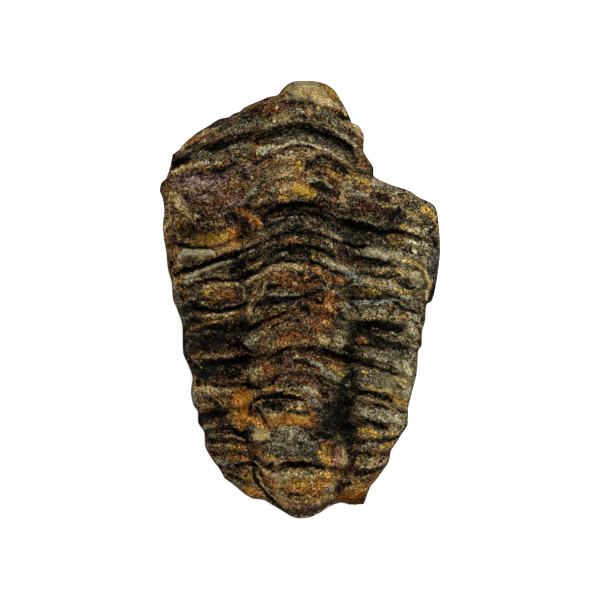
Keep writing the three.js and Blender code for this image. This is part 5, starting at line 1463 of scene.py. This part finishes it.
class Recipe:
    """A material and its nodes."""

    def __init__(self, name):
        self.material = bpy.data.materials.new(name)
        self.material.use_nodes = True
        self.tree = self.material.node_tree
        self.tree.nodes.clear()

    def node(self, kind, settings=None, sockets=None, output=0):
        """Adds a node of a kind, with its settings, then its sockets' values or wires."""
        made = self.tree.nodes.new(kind)
        for name, value in (settings or {}).items():
            if name == "stops":
                self.set_stops(made.color_ramp, value)
            else:
                setattr(made, name, value)
        for name, value in (sockets or {}).items():
            if isinstance(value, Wire):
                self.tree.links.new(value.socket, made.inputs[name])
            else:
                made.inputs[name].default_value = value
        return Wire(self, made.outputs[output]) if made.outputs else None

    def set_stops(self, ramp, stops):
        """Gives a colour ramp its places and colours."""
        while len(ramp.elements) < len(stops):
            ramp.elements.new(1.0)
        for element, (place, colour) in zip(ramp.elements, stops):
            element.position, element.color = place, colour

    def mask(self, name):
        """A number stored on the mesh under a name."""
        return self.node("ShaderNodeAttribute", {"attribute_name": name}, output="Fac")

    def grain(self, place, size, detail=3.0, roughness=0.6, distortion=0.0):
        """Noise around 0, from about -0.5 to 0.5. Its lumps' size is in the place's units."""
        sockets = {"Vector": place, "Scale": 1 / size, "Detail": detail}
        sockets.update({"Roughness": roughness, "Distortion": distortion})
        return self.node("ShaderNodeTexNoise", {}, sockets) - 0.5

    def blend(self, share, under, over):
        """The colour under where share is 0, and the colour over where it is 1."""
        sockets = {"Factor": share, 6: under, 7: over}
        return self.node("ShaderNodeMix", {"data_type": "RGBA"}, sockets, output=2)

    def shades(self, tone, colours):
        """Screen colours from dark to pale, picked by a tone from 0 to 1."""
        places = np.linspace(0, 1, len(colours))
        stops = [(place, tint(*colour)) for place, colour in zip(places, colours)]
        return self.node("ShaderNodeValToRGB", {"stops": stops}, {"Fac": tone})


# %% [markdown]
# ## The stone's colour
#
# A painter would first settle how light each spot is and then what hue it has. The tone
# comes from the relief and from grain at several sizes: low spots are near black and edges
# pale, partly as painted shade and painted light, and laminae run along the rings. Every
# mask and noise that the tone and the hues share is made here once.

# %% Noises and masks of the stone
LAMINA_STRETCH = (0.3, 1, 1)  # makes laminae about three times as long as they are wide
CRYSTALS_PER_MM = 3.6

stone = Recipe("weathered_fossil_stone")
flow_place = stone.node("ShaderNodeAttribute", {"attribute_name": "flow"}, output="Vector")
object_place = stone.node("ShaderNodeTexCoord", output="Object")
millimetres = stone.node(
    "ShaderNodeVectorMath", {"operation": "SCALE"}, {0: object_place, "Scale": MM_PER_METRE}
)
stretched = stone.node(
    "ShaderNodeVectorMath", {"operation": "MULTIPLY"}, {0: flow_place, 1: LAMINA_STRETCH}
)
laminated = stone.grain(stretched, 0.6, detail=4)
blotches = stone.grain(flow_place, 2.2, detail=4, distortion=0.4)
mottle = stone.grain(millimetres, 0.8, detail=4, roughness=0.7)
speckle = stone.grain(millimetres, 0.27, detail=2, roughness=0.8)
crystals = stone.node(
    "ShaderNodeTexVoronoi", {}, {"Vector": millimetres, "Scale": CRYSTALS_PER_MM}, output="Color"
)
crystals = stone.node("ShaderNodeSeparateColor", {}, {"Color": crystals}, output="Red") - 0.5
fine, broad = stone.mask("fine_height"), stone.mask("broad_height")
shade, seam, plate_shade = stone.mask("shade"), stone.mask("seam"), stone.mask("plate_shade")
plate_hue, black, smoothness = stone.mask("plate_hue"), stone.mask("black"), stone.mask("smoothness")
print("noise and mask nodes:", len(stone.tree.nodes))

# %% [markdown]
# Cracks finer than the net wander over the whole back. A noise is near zero along winding
# lines, and those lines are the cracks. Each one has a pale lip beside it, where its edge
# has worn.

# %% Hair cracks and their lips
def hair_cracks(place, size, width):
    """Two masks: thin wandering cracks, and the pale lip that runs beside each one."""
    bends = stone.grain(place, size, roughness=0.55)
    crack = (width - abs(bends)).between(0, width)
    lip = (width - abs(bends - 2 * width)).between(0, width)
    return crack, lip


long_cracks, long_lips = hair_cracks(stretched, size=0.9, width=0.022)
short_cracks, short_lips = hair_cracks(millimetres, size=0.55, width=0.03)
cracks = long_cracks + short_cracks
lips = long_lips + short_lips
print("nodes with the cracks:", len(stone.tree.nodes))

# %% [markdown]
# The tone adds them all up around a middle. Grain is calmer on the smooth faces, and the
# black mask, dark film and painted shade in the grooves, darkens whatever it covers.

# %% Tone
TONE_MIDDLE = 0.455
CONTRAST = 0.9
FILM_AND_SHADE_EDGE, FILM_AND_SHADE_DARKNESS = (0.35, 0.7), 0.19  # the edge runs from its start to full cover
CALM_GRAIN = 0.5  # share of the grain that a smooth face has lost

grainy = 0.28 * laminated + 0.56 * mottle + 0.4 * speckle + 0.1 * crystals
tone = (
    TONE_MIDDLE
    # fine and broad heights: painted shade in the hollows and painted light on the edges, with dirt and
    # wear
    + 0.12 * fine
    + 0.09 * broad
    + 0.27 * blotches
    + grainy * (1 - CALM_GRAIN * smoothness)
    + shade
    + 0.1 * plate_shade
    - 0.12 * seam
    - 0.26 * cracks
    + 0.24 * lips
)
# the black mask: dark film, and painted shade in the grooves
black_film_and_shade = (black + 0.35 * plate_hue + 0.3 * blotches + 0.5 * mottle).between(*FILM_AND_SHADE_EDGE)
tone = TONE_MIDDLE + CONTRAST * (tone - TONE_MIDDLE) - FILM_AND_SHADE_DARKNESS * black_film_and_shade
print("nodes with the tone:", len(stone.tree.nodes))

# %% [markdown]
# Each hue is a row of shades from dark to pale. The same tone picks from all of them, so
# that a rust stain keeps the light and dark of the rock under it. Plain rock is olive or
# brown, and a paler brown where it is warm.

# %% Plain rock, from dark to pale
OLIVE = ((4, 4, 2), (26, 21, 11), (62, 51, 28), (97, 84, 52), (136, 121, 80))
BROWN = ((5, 3, 1), (30, 18, 8), (70, 45, 21), (104, 73, 37), (138, 108, 62))
WARM_BROWN = ((12, 8, 3), (54, 37, 15), (106, 78, 36), (146, 114, 56), (184, 156, 96))
BROWN_EDGE = (0.42, 0.58)  # where the rock turns from olive to brown
WARM_SHARE = 0.7

hue_drift = stone.grain(flow_place, 4.0)
warm = stone.mask("warmth")
brown_share = (hue_drift + 0.5 + 0.25 * warm).between(*BROWN_EDGE)
colour = stone.blend(brown_share, stone.shades(tone, OLIVE), stone.shades(tone, BROWN))
colour = stone.blend(warm * WARM_SHARE, colour, stone.shades(tone, WARM_BROWN))
print("nodes with the plain rock:", len(stone.tree.nodes))

# %% [markdown]
# The stains lie over the plain rock, one hue after the other. Noise and the plates of the
# shell break up their edges once more.

# %% Hues, each from dark to pale
HUE_EDGE = (0.25, 0.75)  # where a stain begins and where it covers the rock
HUES = {
    "grey": ((6, 6, 4), (31, 27, 18), (67, 60, 41), (99, 90, 63), (137, 126, 95)),
    "slate": ((8, 8, 6), (38, 37, 31), (78, 75, 64), (112, 108, 94), (148, 145, 132)),
    "brick": ((6, 4, 2), (34, 18, 10), (68, 38, 22), (102, 64, 40), (146, 106, 74)),
    "rust": ((8, 4, 1), (44, 23, 7), (90, 52, 17), (132, 84, 32), (172, 126, 62)),
    "mauve": ((8, 5, 4), (42, 29, 23), (84, 63, 53), (121, 99, 86), (163, 145, 131)),
    "ochre": ((10, 7, 1), (48, 33, 8), (98, 71, 20), (142, 108, 38), (170, 138, 62)),
    "orange": ((9, 4, 1), (56, 29, 5), (110, 66, 15), (154, 99, 27), (192, 140, 56)),
    "tan": ((18, 13, 6), (62, 48, 27), (106, 86, 50), (138, 116, 72), (172, 152, 106)),
    "bone": ((18, 16, 10), (60, 53, 37), (100, 91, 66), (128, 118, 88), (162, 152, 122)),
}

soft_mottle = stone.grain(millimetres, 0.8, detail=1)
for hue, colours in HUES.items():
    ragged_mask = stone.mask(hue) + 0.35 * plate_hue + 0.35 * blotches + 0.4 * soft_mottle
    share = ragged_mask.between(*HUE_EDGE)
    colour = stone.blend(share, colour, stone.shades(tone, colours))
print("hues over the plain rock:", len(HUES))

# %% [markdown]
# The finest grain is the sparkle of single crystals, lighter or darker than the rock around
# them but of the same hue. Added straight to a colour it would tint the dark spots, so it
# is added on the scale that the eye sees, where equal steps look equal.

# %% Crystal grain on the eye's scale
EYE_GAMMA = 2.2
DARK_SPARKLE, SPARKLE_GAIN = 0.46, 0.72  # strength at tone 0, and what it gains by tone 1
SPARKLE_LOSS = 0.55  # share of it that a smooth face has lost

seen = stone.node("ShaderNodeGamma", {}, {"Color": colour, "Gamma": 1 / EYE_GAMMA})
sparkle = 1.5 * speckle + 0.3 * mottle + 0.16 * crystals
sparkle = sparkle * (DARK_SPARKLE + SPARKLE_GAIN * tone) * (1 - SPARKLE_LOSS * smoothness)
seen = stone.node("ShaderNodeVectorMath", {"operation": "ADD"}, {0: seen, 1: sparkle})
seen = stone.node("ShaderNodeVectorMath", {"operation": "MAXIMUM"}, {0: seen, 1: (0.0, 0.0, 0.0)})
colour = stone.node("ShaderNodeGamma", {}, {"Color": seen, "Gamma": EYE_GAMMA})

# %% [markdown]
# The finish is dull, a little less so on the black films and the painted shade of the
# grooves. Grain too fine for the mesh is bump, from the same noises as the colour, so pits
# are dark and grains are pale.

# %% Finish and bump
BUMP_STRENGTH, BUMP_METRES, GLOSS = 0.7, 0.00022, 0.01

bump_height = 0.6 * mottle + 0.5 * speckle + 0.3 * laminated - 0.3 * cracks
bump_sockets = {"Strength": BUMP_STRENGTH, "Distance": BUMP_METRES, "Height": bump_height}
bump = stone.node("ShaderNodeBump", {}, bump_sockets)
surface = stone.node(
    "ShaderNodeBsdfPrincipled",
    {},
    {
        "Base Color": colour,
        "Roughness": 0.8 - 0.2 * black_film_and_shade + 0.3 * mottle,
        "Specular IOR Level": GLOSS,
        "Normal": bump,
    },
)
stone.node("ShaderNodeOutputMaterial", {}, {"Surface": surface})
mesh.materials.append(stone.material)
print("stone nodes:", len(stone.tree.nodes))

# %% [markdown]
# The floor is a sheet of matt white card. It only has to be pale and even, so it glows a
# little, as on a light table, and the stone's shadow on it stays faint.

# %% White card
CARD_SHADES = (243, 243, 243), (247, 247, 247)
FIBRE_METRES, CARD_ROUGHNESS, CARD_GLOW = 0.002, 0.9, 0.45

card = Recipe("white_card")
card_place = card.node("ShaderNodeTexCoord", output="Object")
fibres = card.grain(card_place, FIBRE_METRES)
darker, paler = [tint(*shade) for shade in CARD_SHADES]
card_surface = card.node(
    "ShaderNodeBsdfPrincipled",
    {},
    {
        "Base Color": card.blend(fibres + 0.5, darker, paler),
        "Roughness": CARD_ROUGHNESS,
        "Emission Color": WHITE,
        "Emission Strength": CARD_GLOW,
    },
)
card.node("ShaderNodeOutputMaterial", {}, {"Surface": card_surface})
floor.data.materials.append(card.material)
print("card nodes:", len(card.tree.nodes))
